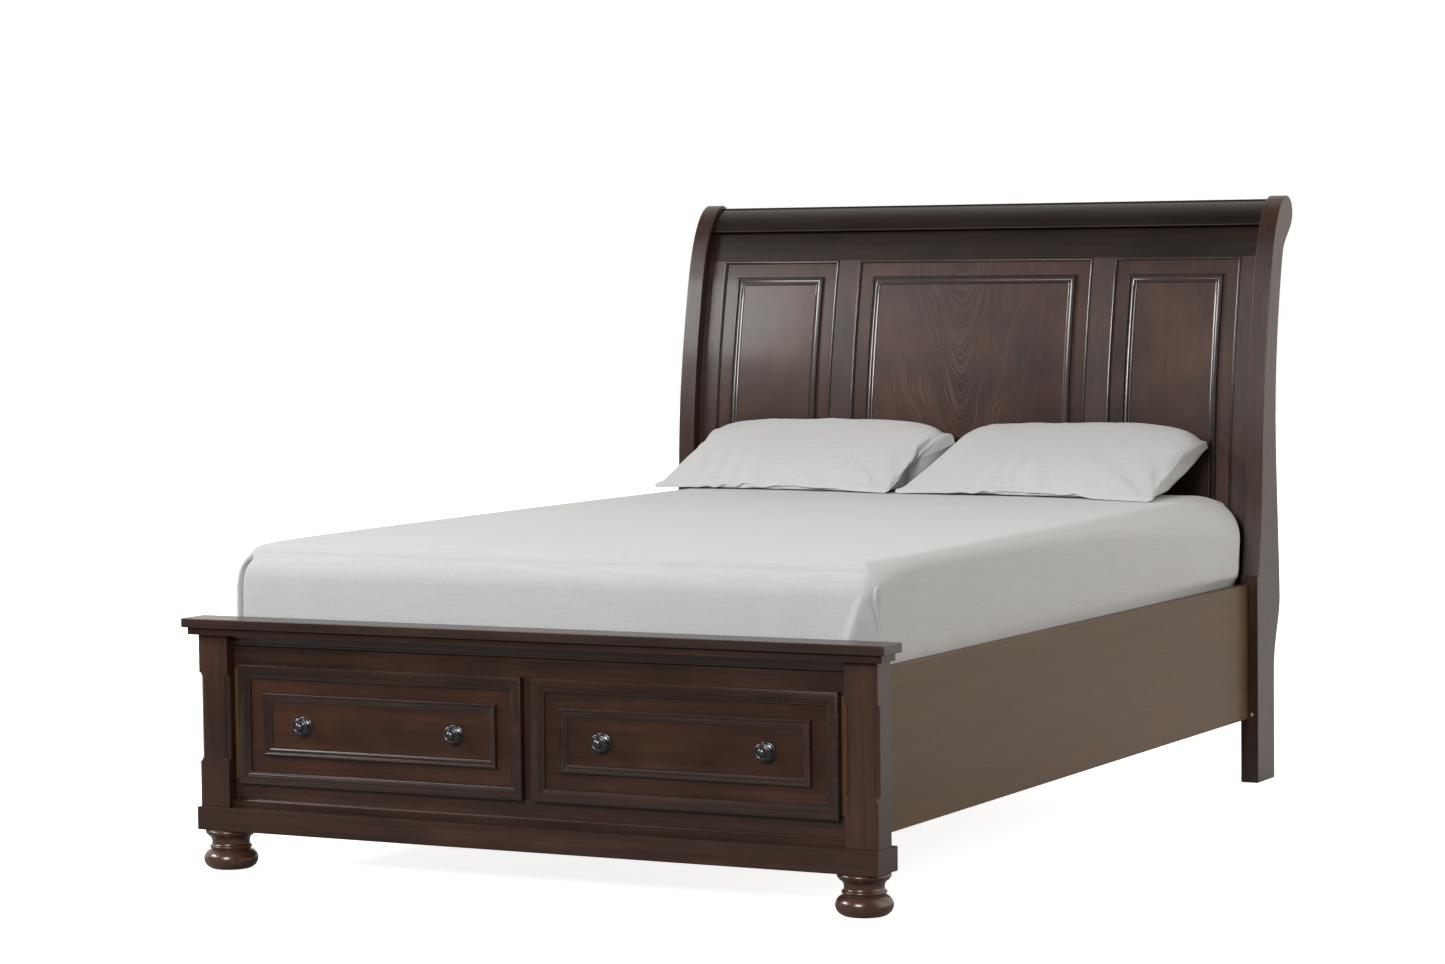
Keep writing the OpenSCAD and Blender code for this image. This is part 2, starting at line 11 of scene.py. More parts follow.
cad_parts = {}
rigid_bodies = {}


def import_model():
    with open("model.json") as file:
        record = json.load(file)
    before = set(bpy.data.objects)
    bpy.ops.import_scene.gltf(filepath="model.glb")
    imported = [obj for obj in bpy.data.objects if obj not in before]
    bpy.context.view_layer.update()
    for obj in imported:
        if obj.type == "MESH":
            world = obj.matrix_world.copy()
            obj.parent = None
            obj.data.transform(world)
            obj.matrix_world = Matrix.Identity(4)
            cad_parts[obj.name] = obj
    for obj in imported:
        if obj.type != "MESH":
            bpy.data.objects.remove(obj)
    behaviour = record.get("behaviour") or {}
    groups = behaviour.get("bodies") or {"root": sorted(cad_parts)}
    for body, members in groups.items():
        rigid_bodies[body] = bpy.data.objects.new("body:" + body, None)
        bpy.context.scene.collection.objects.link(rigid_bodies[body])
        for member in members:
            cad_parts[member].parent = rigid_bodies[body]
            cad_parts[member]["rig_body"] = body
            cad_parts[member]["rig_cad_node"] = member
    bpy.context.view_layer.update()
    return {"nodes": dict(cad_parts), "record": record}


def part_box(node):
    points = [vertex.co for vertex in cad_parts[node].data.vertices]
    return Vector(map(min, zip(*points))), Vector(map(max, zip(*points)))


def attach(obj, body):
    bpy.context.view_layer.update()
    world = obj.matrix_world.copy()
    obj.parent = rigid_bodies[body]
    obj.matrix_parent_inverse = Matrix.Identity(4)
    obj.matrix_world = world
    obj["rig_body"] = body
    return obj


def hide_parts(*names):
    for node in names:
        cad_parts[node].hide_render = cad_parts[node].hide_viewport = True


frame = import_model()
NODES = frame["nodes"]
BODY = {n: b for b, ns in frame["record"]["behaviour"]["bodies"].items() for n in ns}
scene = bpy.context.scene


# ---------------------------------------------------------------- shader helpers

def new_material(name):
    m = bpy.data.materials.new(name)
    m.use_nodes = True
    nodes, links = m.node_tree.nodes, m.node_tree.links
    return m, nodes, links, nodes["Principled BSDF"]


def math_node(nodes, links, op, a, b=None):
    n = nodes.new("ShaderNodeMath")
    n.operation = op
    for i, v in enumerate((a, b)):
        if v is None:
            continue
        if isinstance(v, (int, float)):
            n.inputs[i].default_value = v
        else:
            links.new(v, n.inputs[i])
    return n.outputs[0]


def ramp(nodes, links, fac, stops):
    n = nodes.new("ShaderNodeValToRGB")
    while len(n.color_ramp.elements) < len(stops):
        n.color_ramp.elements.new(0.5)
    for e, (pos, col) in zip(n.color_ramp.elements, stops):
        e.position = pos
        e.color = (*col, 1.0) if len(col) == 3 else col
    links.new(fac, n.inputs["Fac"])
    return n.outputs["Color"]


def noise(nodes, links, vector, scale, detail=3.0, rough=0.55, distortion=0.0):
    n = nodes.new("ShaderNodeTexNoise")
    n.inputs["Scale"].default_value = scale
    n.inputs["Detail"].default_value = detail
    n.inputs["Roughness"].default_value = rough
    n.inputs["Distortion"].default_value = distortion
    links.new(vector, n.inputs["Vector"])
    return n.outputs["Fac"]


def mapped(nodes, links, scale, shift=(0, 0, 0), rot=(0, 0, 0)):
    c = nodes.new("ShaderNodeTexCoord")
    m = nodes.new("ShaderNodeMapping")
    m.inputs["Scale"].default_value = scale
    m.inputs["Location"].default_value = shift
    m.inputs["Rotation"].default_value = rot
    links.new(c.outputs["Object"], m.inputs["Vector"])
    return m.outputs["Vector"]


def mix_color(nodes, links, fac, a, b, blend="MIX"):
    n = nodes.new("ShaderNodeMix")
    n.data_type = "RGBA"
    n.blend_type = blend
    for socket, v in ((n.inputs["Factor"], fac), (n.inputs[6], a), (n.inputs[7], b)):
        if isinstance(v, (int, float)):
            socket.default_value = v
        elif isinstance(v, (tuple, list)):
            socket.default_value = (*v, 1.0) if len(v) == 3 else v
        else:
            links.new(v, socket)
    return n.outputs[2]


def bump(nodes, links, height, strength, distance, normal=None):
    n = nodes.new("ShaderNodeBump")
    n.inputs["Strength"].default_value = strength
    n.inputs["Distance"].default_value = distance
    links.new(height, n.inputs["Height"])
    if normal is not None:
        links.new(normal, n.inputs["Normal"])
    return n.outputs["Normal"]


# ---------------------------------------------------------------- materials

GRAIN_SCALE = {"x": (0.35, 9.0, 9.0), "y": (9.0, 0.35, 9.0), "z": (9.0, 9.0, 0.35)}


def cathedral_lines(nodes, links, amount):
    """Thin light lines of cathedral figure: rings cut by the face, opening upwards from mid board."""
    middle_x, waver, slope = -0.03, 0.10, 3.4

    def times(a, b):
        return math_node(nodes, links, "MULTIPLY", a, b)

    def plus(a, b):
        return math_node(nodes, links, "ADD", a, b)

    def minus(a, b):
        return math_node(nodes, links, "SUBTRACT", a, b)

    c = nodes.new("ShaderNodeTexCoord")
    split = nodes.new("ShaderNodeSeparateXYZ")
    links.new(c.outputs["Object"], split.inputs[0])
    wander = noise(nodes, links, mapped(nodes, links, (1, 1, 0.6), (4, 1, 2)), 7.0, 2.0)
    x = plus(plus(split.outputs["X"], -middle_x), times(minus(wander, 0.5), waver))
    bow = math_node(nodes, links, "SQRT", plus(times(x, x), 0.0006))
    rise = minus(split.outputs["Z"], times(bow, slope))
    across = nodes.new("ShaderNodeCombineXYZ")
    links.new(times(rise, 40.0), across.inputs[0])
    links.new(times(split.outputs["X"], 3.0), across.inputs[1])
    rings = noise(nodes, links, across.outputs[0], 1.6, 2.0, 0.5)
    thin = ramp(nodes, links, rings, [(0.50, (0, 0, 0)), (0.56, (1, 1, 1)), (0.62, (0, 0, 0))])
    patches = noise(nodes, links, mapped(nodes, links, (1, 1, 1), (1.3, 2.2, 0.4)), 4.5, 2.0)
    where = ramp(nodes, links, patches, [(0.40, (0.15, 0.15, 0.15)), (0.58, (1, 1, 1))])
    near = ramp(nodes, links, bow, [(0.10, (1, 1, 1)), (0.27, (0.1, 0.1, 0.1))])
    thin = mix_color(nodes, links, 1.0, thin, where, "MULTIPLY")
    thin = mix_color(nodes, links, 1.0, thin, near, "MULTIPLY")
    return times(thin, amount)


def dark_wood(name, grain, shift=0.0, warm=0.5, gloss=0.34, lift=1.0, coat=0.25, spec=0.45, mottle=0.4,
              pore=0.5, figure=0.0, tint=(1, 1, 1), even=0.0):
    """Espresso stained wood. grain is its direction, warm how red it is, lift how light, mottle how patchy
    the stain is, pore how dark the pores are, and even how far its light and dark streaks come together."""
    m, nodes, links, bsdf = new_material(name)
    v = mapped(nodes, links, GRAIN_SCALE[grain], (shift, shift * 1.7, shift * 0.6))
    streak = noise(nodes, links, v, 6.0, 6.0, 0.62, 0.4)
    fine = noise(nodes, links, v, 46.0, 3.0, 0.6)
    patch = noise(nodes, links, mapped(nodes, links, (1, 1, 1), (shift, 0, shift)), 3.4, 4.0, 0.55, 0.3)
    dark, mid, light = [tuple(lift * t * c for t, c in zip(tint, stop)) for stop in (
        (0.0120, 0.0058, 0.0036), (0.026 + 0.012 * warm, 0.0115 + 0.002 * warm, 0.0065),
        (0.050 + 0.024 * warm, 0.022 + 0.003 * warm, 0.011))]
    dark, light = [tuple(c + (k - c) * even for c, k in zip(stop, mid)) for stop in (dark, light)]
    tone = math_node(nodes, links, "ADD", math_node(nodes, links, "MULTIPLY", streak, 1 - mottle),
                     math_node(nodes, links, "MULTIPLY", patch, mottle))
    color = ramp(nodes, links, tone, [(0.32, dark), (0.52, mid), (0.72, light)])
    pores = ramp(nodes, links, fine, [(0.36, (0.55, 0.55, 0.55)), (0.50, (1, 1, 1))])
    color = mix_color(nodes, links, pore, color, pores, "MULTIPLY")
    if figure:
        lines = cathedral_lines(nodes, links, figure)
        color = mix_color(nodes, links, lines, color, (0.115, 0.072, 0.058))
    links.new(color, bsdf.inputs["Base Color"])
    r = math_node(nodes, links, "ADD", math_node(nodes, links, "MULTIPLY", patch, 0.14), gloss - 0.05)
    links.new(r, bsdf.inputs["Roughness"])
    bsdf.inputs["Coat Weight"].default_value = coat
    bsdf.inputs["Coat Roughness"].default_value = 0.12
    bsdf.inputs["Specular IOR Level"].default_value = spec
    links.new(bump(nodes, links, fine, 0.12, 0.0006), bsdf.inputs["Normal"])
    return m


def pale_wood(name, grain, shift=0.0):
    m, nodes, links, bsdf = new_material(name)
    v = mapped(nodes, links, GRAIN_SCALE[grain], (shift, shift, shift))
    streak = noise(nodes, links, v, 7.0, 6.0, 0.6, 0.3)
    fine = noise(nodes, links, v, 50.0, 2.0)
    color = ramp(nodes, links, streak, [(0.30, (0.42, 0.27, 0.145)), (0.55, (0.56, 0.39, 0.235)),
                                        (0.75, (0.65, 0.48, 0.31))])
    color = mix_color(nodes, links, 0.25, color,
                      ramp(nodes, links, fine, [(0.4, (0.6, 0.6, 0.6)), (0.52, (1, 1, 1))]), "MULTIPLY")
    links.new(color, bsdf.inputs["Base Color"])
    bsdf.inputs["Roughness"].default_value = 0.5
    links.new(bump(nodes, links, fine, 0.15, 0.0005), bsdf.inputs["Normal"])
    return m


def metal(name, color, rough, spots=0.0):
    m, nodes, links, bsdf = new_material(name)
    v = mapped(nodes, links, (1, 1, 1))
    grime = noise(nodes, links, v, 90.0, 4.0, 0.6)
    worn = ramp(nodes, links, grime, [(0.35, tuple(c * (1 - 0.5 * spots) for c in color)), (0.65, color)])
    links.new(worn, bsdf.inputs["Base Color"])
    bsdf.inputs["Metallic"].default_value = 1.0
    links.new(math_node(nodes, links, "ADD", math_node(nodes, links, "MULTIPLY", grime, 0.16), rough - 0.08),
              bsdf.inputs["Roughness"])
    links.new(bump(nodes, links, grime, 0.05, 0.0003), bsdf.inputs["Normal"])
    return m


def linen(name, color, shift=0.0):
    """Plain woven cotton: fine warp and weft threads with slubs."""
    m, nodes, links, bsdf = new_material(name)
    warp = noise(nodes, links, mapped(nodes, links, (1.0, 0.02, 1.0), (shift, 0, 0)), 420.0, 2.0)
    weft = noise(nodes, links, mapped(nodes, links, (0.02, 1.0, 1.0), (0, shift, 0)), 420.0, 2.0)
    cloud = noise(nodes, links, mapped(nodes, links, (1, 1, 1), (shift, shift, 0)), 3.0, 3.0)
    weave = math_node(nodes, links, "MULTIPLY", math_node(nodes, links, "ADD", warp, weft), 0.5)
    shade = ramp(nodes, links, weave, [(0.38, tuple(c * 0.90 for c in color)), (0.58, color)])
    shade = mix_color(nodes, links, 0.10, shade,
                      ramp(nodes, links, cloud, [(0.35, (0.82, 0.82, 0.83)), (0.65, (1, 1, 1))]), "MULTIPLY")
    links.new(shade, bsdf.inputs["Base Color"])
    bsdf.inputs["Roughness"].default_value = 0.92
    bsdf.inputs["Specular IOR Level"].default_value = 0.2
    bsdf.inputs["Sheen Weight"].default_value = 0.12
    bsdf.inputs["Sheen Roughness"].default_value = 0.5
    links.new(bump(nodes, links, weave, 0.25, 0.0004), bsdf.inputs["Normal"])
    return m


WOOD = {
    "cap": dark_wood("wood_cap", "x", 5.6, 0.45, 0.36, lift=1.0, spec=0.5, coat=0.3),
    "crest": dark_wood("wood_crest", "x", 6.2, 0.1, 0.34, lift=0.45, spec=0.30, coat=0.15),
    # The top rail takes a darker copy of the stain (lift 0.55): painted shade, standing in for the shadow the
    # crest casts on it.
    "top_rail": dark_wood("wood_top_rail_painted_shade", "x", 8.4, 0.3, 0.40, lift=0.55, spec=0.22, coat=0.08),
    "x": dark_wood("wood_across", "x", 0.0, 0.45, 0.36, lift=1.1, spec=0.38, coat=0.15),
    # The wood along the bed is a lighter, olive-tinted copy of the stain (lift 2.7 and tint): painted side
    # light and sheen on the side rails' outer faces.
    "y": dark_wood("wood_along_painted_light", "y", 1.3, 0.3, 0.42, lift=2.7, spec=0.28, coat=0.10, mottle=0.45, pore=0.3,
                   tint=(1.04, 1.30, 0.85), even=0.62),
    "z": dark_wood("wood_upright", "z", 2.1, 0.5, 0.36, lift=1.1, spec=0.42, coat=0.2),
    "bead": dark_wood("wood_bead", "z", 2.9, 0.3, 0.30, lift=0.8, coat=0.6, spec=0.45),
    "edge": dark_wood("wood_moulding", "x", 7.3, 0.4, 0.32, lift=0.8, coat=0.6, spec=0.35),
    "head_panel": dark_wood("wood_head_panel", "z", 0.0, 1.0, 0.32, lift=1.25, mottle=0.72, pore=0.3,
                            figure=0.65, spec=0.38),
    "side_panel": dark_wood("wood_side_panel", "z", 4.7, 1.0, 0.33, lift=1.15, mottle=0.72, pore=0.3,
                            spec=0.38),
    "drawer_panel": dark_wood("wood_drawer_panel", "x", 3.3, 0.7, 0.36, lift=1.1, mottle=0.55, pore=0.3,
                              spec=0.30, coat=0.12),
    # The bun feet take a lighter copy of the stain (lift 1.9): painted sheen, standing in for the glow of
    # light on their turned faces.
    "foot": dark_wood("wood_bun_foot_painted_sheen", "z", 5.1, 0.6, 0.30, lift=1.9, coat=0.45, even=0.4),
}
PALE = {"x": pale_wood("pale_wood_across", "x"), "y": pale_wood("pale_wood_along", "y", 0.7),
        "z": pale_wood("pale_wood_upright", "z", 1.9)}
KNOB = metal("dark_pewter", (0.105, 0.105, 0.112), 0.30, 0.15)
STEEL = metal("zinc_steel", (0.55, 0.56, 0.58), 0.36, 0.2)
SHEET = linen("sheet_cotton", (0.52, 0.522, 0.525))
PILLOW = linen("pillow_cotton", (0.55, 0.55, 0.55), 2.0)

SLOT = {s["node"]: s["material_slot"] for s in frame["record"]["subparts"]}


def grain_of(node):
    """Grain runs along the longest side of a piece."""
    lo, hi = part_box(node)
    d = hi - lo
    return "xyz"[max(range(3), key=lambda i: d[i])]


def paint(obj, mat):
    obj.data.materials.clear()
    obj.data.materials.append(mat)


def material_for(node):
    s = SLOT[node]
    if s == "knob_metal":
        return KNOB
    if s == "zinc_steel":
        return STEEL
    if s == "pale_wood":
        return PALE["z" if node == "center_legs" else grain_of(node)]
    if s == "dark_wood":
        if node in ("panel_beads", "panel_mouldings"):
            return WOOD["bead"]
        if node == "headboard_stiles" or "_post_" in node:
            return WOOD["z"]
        if node == "headboard_panel_center":
            return WOOD["head_panel"]
        if node == "headboard_panels_side":
            return WOOD["side_panel"]
        if node == "footboard_cap":
            return WOOD["cap"]
        if node.startswith("bun_foot"):
            return WOOD["foot"]
        if node.endswith("_panel"):
            return WOOD["drawer_panel"]
        if node == "case_partitions":
            return WOOD["y"]
        return WOOD[grain_of(node)]
    return SHEET if s == "fitted_sheet" else PILLOW


for n, o in NODES.items():
    paint(o, material_for(n))


# ---------------------------------------------------------------- mesh helpers

def mesh_object(name, verts, faces, smooth_angle=35):
    me = bpy.data.meshes.new(name)
    me.from_pydata([tuple(v) for v in verts], [], faces)
    me.validate()
    o = bpy.data.objects.new(name, me)
    scene.collection.objects.link(o)
    bm = bmesh.new()
    bm.from_mesh(me)
    bmesh.ops.remove_doubles(bm, verts=bm.verts, dist=1e-6)
    bmesh.ops.recalc_face_normals(bm, faces=bm.faces)
    bm.to_mesh(me)
    bm.free()
    soften(o, smooth_angle)
    return o


def soften(o, angle):
    for p in o.data.polygons:
        p.use_smooth = True
    o.data.set_sharp_from_angle(angle=math.radians(angle))


def apply_modifiers(o):
    deps = bpy.context.evaluated_depsgraph_get()
    me = bpy.data.meshes.new_from_object(o.evaluated_get(deps))
    o.modifiers.clear()
    o.data = me


def bevel(o, width, segments=3, angle=28):
    """Rounds the sharp edges of a piece."""
    b = o.modifiers.new("edges", "BEVEL")
    b.width = width
    b.segments = segments
    b.limit_method = "ANGLE"
    b.angle_limit = math.radians(angle)
    b.use_clamp_overlap = True
    apply_modifiers(o)
    soften(o, 40)
    w = o.modifiers.new("flat_faces", "WEIGHTED_NORMAL")
    w.weight = 100
    w.keep_sharp = True
    apply_modifiers(o)


def refine(node, width=0.0012, angle=28, segments=3):
    """A CAD piece with its flat faces made whole and its arrises eased; stands for the CAD node."""
    o = NODES[node].copy()
    o.data = NODES[node].data.copy()
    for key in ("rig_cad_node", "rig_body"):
        if key in o:
            del o[key]
    o.parent = None
    o.name = node + "_eased"
    scene.collection.objects.link(o)
    bm = bmesh.new()
    bm.from_mesh(o.data)
    bmesh.ops.remove_doubles(bm, verts=bm.verts, dist=2e-6)
    bmesh.ops.dissolve_limit(bm, angle_limit=math.radians(1.0), verts=bm.verts, edges=bm.edges)
    bm.to_mesh(o.data)
    bm.free()
    bevel(o, width, segments, angle)
    return place(o, node)


def place(o, node, material=None):
    """Paints a finished piece and puts it on its body, in the place of its CAD node."""
    paint(o, material or material_for(node))
    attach(o, BODY[node])
    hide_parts(node)
    return o


def skin(count, rings):
    """Quads between rings of count points each, given one ring after another."""
    faces = []
    for start in range(0, (rings - 1) * count, count):
        for k in range(count):
            after = (k + 1) % count
            faces.append((start + k, start + after, start + count + after, start + count + k))
    return faces


def extruded(name, outline, x0, x1, angle=35):
    """Solid with the same outline, [y, z] in metres, all the way from x0 to x1."""
    k = len(outline)
    verts = [(x, y, z) for x in (x0, x1) for y, z in outline]
    ends = [tuple(range(k)), tuple(range(2 * k - 1, k - 1, -1))]
    return mesh_object(name, verts, skin(k, 2) + ends, angle)


def join(name, objs):
    bpy.ops.object.select_all(action="DESELECT")
    for o in objs:
        o.select_set(True)
    bpy.context.view_layer.objects.active = objs[0]
    if len(objs) > 1:
        bpy.ops.object.join()
    objs[0].name = name
    return objs[0]


def lathe(name, profile, centre, axis="z", steps=64):
    """Turned solid; profile is [radius, distance along the axis], from one end to the other."""
    verts = []
    for r, h in profile:
        for k in range(steps):
            a = 2 * math.pi * k / steps
            p = (r * math.cos(a), r * math.sin(a), h)
            if axis == "-y":
                p = (p[0], -p[2], p[1])
            verts.append(Vector(p) + Vector(centre))
    return mesh_object(name, verts, skin(steps, len(profile)), 50)


def arc(cx, cz, rx, rz, a0, a1, n):
    """Points along an elliptical arc, from angle a0 to a1 in degrees."""
    return [(cx + rx * math.cos(math.radians(a0 + (a1 - a0) * i / n)),
             cz + rz * math.sin(math.radians(a0 + (a1 - a0) * i / n))) for i in range(n + 1)]


# ---------------------------------------------------------------- headboard curve

leg_lo, leg_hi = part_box("headboard_post_right")
LEG_Y = leg_lo.y
MM = 0.001
# outline of a headboard post as cubic curves: millimetres behind the leg's front face, and height
FRONT = [
    [(9, 512), (25, 600), (36, 690), (39, 790)],
    [(39, 790), (43, 950), (75, 1110), (103, 1245)],
    [(103, 1245), (119, 1320), (155, 1440), (223, 1452)],
]
SCROLL = [
    [(223, 1452), (250, 1452), (267, 1434), (267, 1408)],
    [(267, 1408), (267, 1372), (214, 1352), (197, 1316)],
]
BACK = [
    [(197, 1316), (175, 1240), (141, 1080), (139, 930)],
    [(139, 930), (138, 780), (158, 600), (164, 460)],
    [(164, 460), (168, 400), (120, 350), (120, 268)],
]


def curve(points, n, inset=0.0):
    """Points along cubic curves, in metres, moved inward by inset."""
    out = []
    for c in points:
        p = [np.array(q, float) for q in c]
        for i in range(n):
            t = i / n
            u = 1 - t
            q = u**3 * p[0] + 3 * t * u * u * p[1] + 3 * t * t * u * p[2] + t**3 * p[3]
            d = 3 * u * u * (p[1] - p[0]) + 6 * t * u * (p[2] - p[1]) + 3 * t * t * (p[3] - p[2])
            d /= np.linalg.norm(d)
            out.append((q + inset * np.array([d[1], -d[0]])) * MM)
    return out


FRONT_EDGE = np.array(curve(FRONT, 40))


def front_at(z):
    """Depth of the headboard's front edge behind the leg's front face, at height z."""
    return float(np.interp(z, FRONT_EDGE[:, 1], FRONT_EDGE[:, 0]))


def bend(verts):
    """Moves points of a flat headboard piece, y being depth behind the front edge, onto the curve."""
    return [Vector((v[0], LEG_Y + front_at(v[2]) + v[1], v[2])) for v in verts]


def heights(z0, z1, step=0.02):
    n = max(1, math.ceil((z1 - z0) / step))
    return [z0 + (z1 - z0) * i / n for i in range(n + 1)]


def bent_board(name, x0, x1, z0, z1, d0, d1):
    """Board that follows the headboard, d0 to d1 behind its front edge."""
    zs = heights(z0, z1)
    verts = [(x, d, z) for z in zs for x, d in ((x0, d0), (x1, d0), (x1, d1), (x0, d1))]
    last = (len(zs) - 1) * 4
    faces = skin(4, len(zs)) + [(3, 2, 1, 0), (last, last + 1, last + 2, last + 3)]
    return mesh_object(name, bend(verts), faces)


def mitred(name, half_w, half_h, centre, section, bent=False):
    """Frame of moulding round a rectangle: section is [distance in from the edge, depth], closed."""
    cx, cy, cz = centre
    zs = heights(-half_h, half_h) if bent else [-half_h, half_h]
    k = len(section)
    verts, faces = [], []

    def side(stations):
        base = len(verts)
        for station in stations:
            verts.extend(station)
        faces.extend(tuple(base + q for q in face) for face in skin(k, len(stations)))

    # the sides meet in mitres because each point of the section keeps its own distance from the edge
    for s in (-1, 1):
        side([[(cx + s * (half_w - a), cy + d, cz + z / half_h * (half_h - a)) for a, d in section]
              for z in zs])
        side([[(cx + f * (half_w - a), cy + d, cz + s * (half_h - a)) for a, d in section]
              for f in (-1, 1)])
    return mesh_object(name, bend(verts) if bent else verts, faces, 24)


# ---------------------------------------------------------------- headboard

def build_headboard():
    post_in, post_out = leg_lo.x, leg_hi.x
    outline = [np.array((0.0, 0.0)), np.array((0.0, 0.512))]
    outline += curve(FRONT, 26) + curve(SCROLL, 22) + curve(BACK, 18)
    outline += [np.array((0.120, 0.268)), np.array((0.120, 0.0))]
    outline = [(LEG_Y + y, z) for y, z in outline]
    for s, node in ((1, "headboard_post_right"), (-1, "headboard_post_left")):
        o = extruded(node + "_eased", outline, s * post_in, s * post_out)
        bevel(o, 0.0022, 3, 50)
        place(o, node, WOOD["z"])

    # crest rail: a long roll with a lip along its lower front edge
    crest_bottom = 1.378
    roll = [[p for p in points if p[1] > crest_bottom + 0.004]
            for points in (curve(FRONT[2:], 30, 12), curve(SCROLL, 24, 8))]
    lip = front_at(crest_bottom) + 0.013
    section = [(lip + 0.004, crest_bottom), (lip, crest_bottom + 0.003), *roll[0], *roll[1],
               (roll[1][-1][0] - 0.006, crest_bottom)]
    o = extruded("crest_rail_roll", [(LEG_Y + y, z) for y, z in section], -post_in, post_in)
    bevel(o, 0.0012, 2, 35)
    place(o, "crest_rail", WOOD["crest"])

    # the frame of rails and stiles, the panels in it, and the sheet behind it all
    # depths run from front to back, behind the posts' front edge
    frame_depth, panel_depth, sheet_depth = (0.030, 0.054), (0.034, 0.046), (0.054, 0.060)
    top, bottom, lowest = 1.302, 0.520, 0.330
    sheet_bottom, sheet_top = 0.400, 1.360
    center_half, stile_edge, outer_edge, tongue = 0.330, 0.389, 0.728, 0.008
    o = bent_board("headboard_top_rail_bent", -post_in, post_in, top, crest_bottom, *frame_depth)
    place(o, "headboard_top_rail", WOOD["top_rail"])
    o = bent_board("headboard_bottom_rail_bent", -post_in, post_in, lowest, bottom, *frame_depth)
    place(o, "headboard_bottom_rail", WOOD["x"])
    stiles = [bent_board("stile", *sorted((s * a, s * b)), bottom, top, *frame_depth)
              for s in (-1, 1) for a, b in ((outer_edge, post_in), (center_half, stile_edge))]
    place(join("headboard_stiles_bent", stiles), "headboard_stiles", WOOD["z"])
    low_edge, high_edge = bottom - tongue, top + tongue
    half = center_half + tongue
    o = bent_board("headboard_panel_center_bent", -half, half, low_edge, high_edge, *panel_depth)
    place(o, "headboard_panel_center", WOOD["head_panel"])
    panels = [bent_board("panel", *sorted((s * (stile_edge - tongue), s * (outer_edge + tongue))),
                         low_edge, high_edge, *panel_depth) for s in (-1, 1)]
    place(join("headboard_panels_side_bent", panels), "headboard_panels_side", WOOD["side_panel"])
    o = bent_board("headboard_back_sheet_bent", -post_in, post_in, sheet_bottom, sheet_top, *sheet_depth)
    place(o, "headboard_back_sheet", WOOD["z"])

    side_x, side_half = (outer_edge + stile_edge) / 2, (outer_edge - stile_edge) / 2
    openings = [(0.0, center_half), (side_x, side_half), (-side_x, side_half)]
    mid, half = (top + bottom) / 2, (top - bottom) / 2
    # sections in millimetres: distance in from the opening, and depth behind the beads' or mouldings' face
    bead_face, moulding_face, margin = 27, 25, 0.043
    bead = [(0, 7), (0, 1.2), (1, 0.2), (2.6, 0), (4.4, 0.5), (5.6, 1.8), (6.2, 3.4), (8, 4.4), (8, 7)]
    bead = [(a * MM, (bead_face + d) * MM) for a, d in bead]
    o = join("panel_beads_run", [mitred("bead", w, half, (x, 0, mid), bead, True) for x, w in openings])
    place(o, "panel_beads", WOOD["bead"])
    moulding = [(0, 9), (0, 2.2), (0.8, 0.8), (2.4, 0), (4.6, 0), (6.2, 0.9), (7.0, 2.6), (8.4, 3.4),
                (11, 3.6), (13.5, 4.2), (15.5, 5.6), (17, 6.6), (18.6, 6.4), (20.2, 6.9), (21.4, 8.1),
                (22, 9)]
    moulding = [(a * MM, (moulding_face + d) * MM) for a, d in moulding]
    runs = [mitred("moulding", w - margin, half - margin, (x, 0, mid), moulding, True) for x, w in openings]
    o = join("panel_mouldings_run", runs)
    place(o, "panel_mouldings", WOOD["bead"])


# ---------------------------------------------------------------- footboard

def build_footboard():
    refine("footboard_cap", 0.0022)
    refine("footboard_cap_layer", 0.0018)
    for n in ("footboard_post_left", "footboard_post_right"):
        refine(n, 0.0008, 24, 2)
    refine("plinth", 0.0018)
    for n in ("footboard_top_rail", "footboard_center_stile", "footboard_bottom_rail"):
        refine(n, 0.0006)

    # moulding under the cap and on the plinth, as smooth runs between the posts
    lo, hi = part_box("footboard_apron_moulding")
    section = [(0, 0), (-12, 0), (-12, -6), (-11, -8.5), (-9, -10.5), (-7.6, -13), (-7.2, -17), (-8, -19),
               (-7.4, -21.6), (-5.4, -23.4), (-3, -24), (0, -24)]
    o = run("apron_moulding_run", lo.x, hi.x, hi.y, hi.z, section)
    place(o, "footboard_apron_moulding", WOOD["edge"])
    lo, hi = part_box("plinth_moulding")
    section = [(0, 0), (-11, 0), (-11, 10), (-10.4, 12.4), (-8.6, 13.6), (-7.4, 14), (-6.4, 15.6),
               (-4.4, 18), (-2, 19), (0, 19)]
    o = run("plinth_moulding_run", lo.x, hi.x, hi.y, lo.z, section)
    place(o, "plinth_moulding", WOOD["edge"])

    # bun feet
    for n in ("bun_foot_left", "bun_foot_right"):
        lo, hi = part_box(n)
        c = ((lo.x + hi.x) / 2, (lo.y + hi.y) / 2, lo.z)
        profile = [(0, 0)] + arc(35, 22, 24, 22, -90, 72, 24) + [(42.6, 44.8)]
        profile += arc(43, 48.5, 3.2, 3.2, -70, 70, 8) + arc(54, 59, 13, 15, 200, 110, 12)
        profile += arc(49.5, 81.5, 5.5, 5.3, -60, 75, 10) + [(49, 87), (0, 87)]
        o = lathe(n + "_turned", [(r * MM, h * MM) for r, h in profile], c, steps=96)
        place(o, n, WOOD["foot"])


def run(name, x0, x1, y, z, section):
    """Straight moulding across the bed; section is [y, z] in millimetres from a corner."""
    return extruded(name, [(y + a * MM, z + b * MM) for a, b in section], x0, x1, 24)


# ---------------------------------------------------------------- drawers

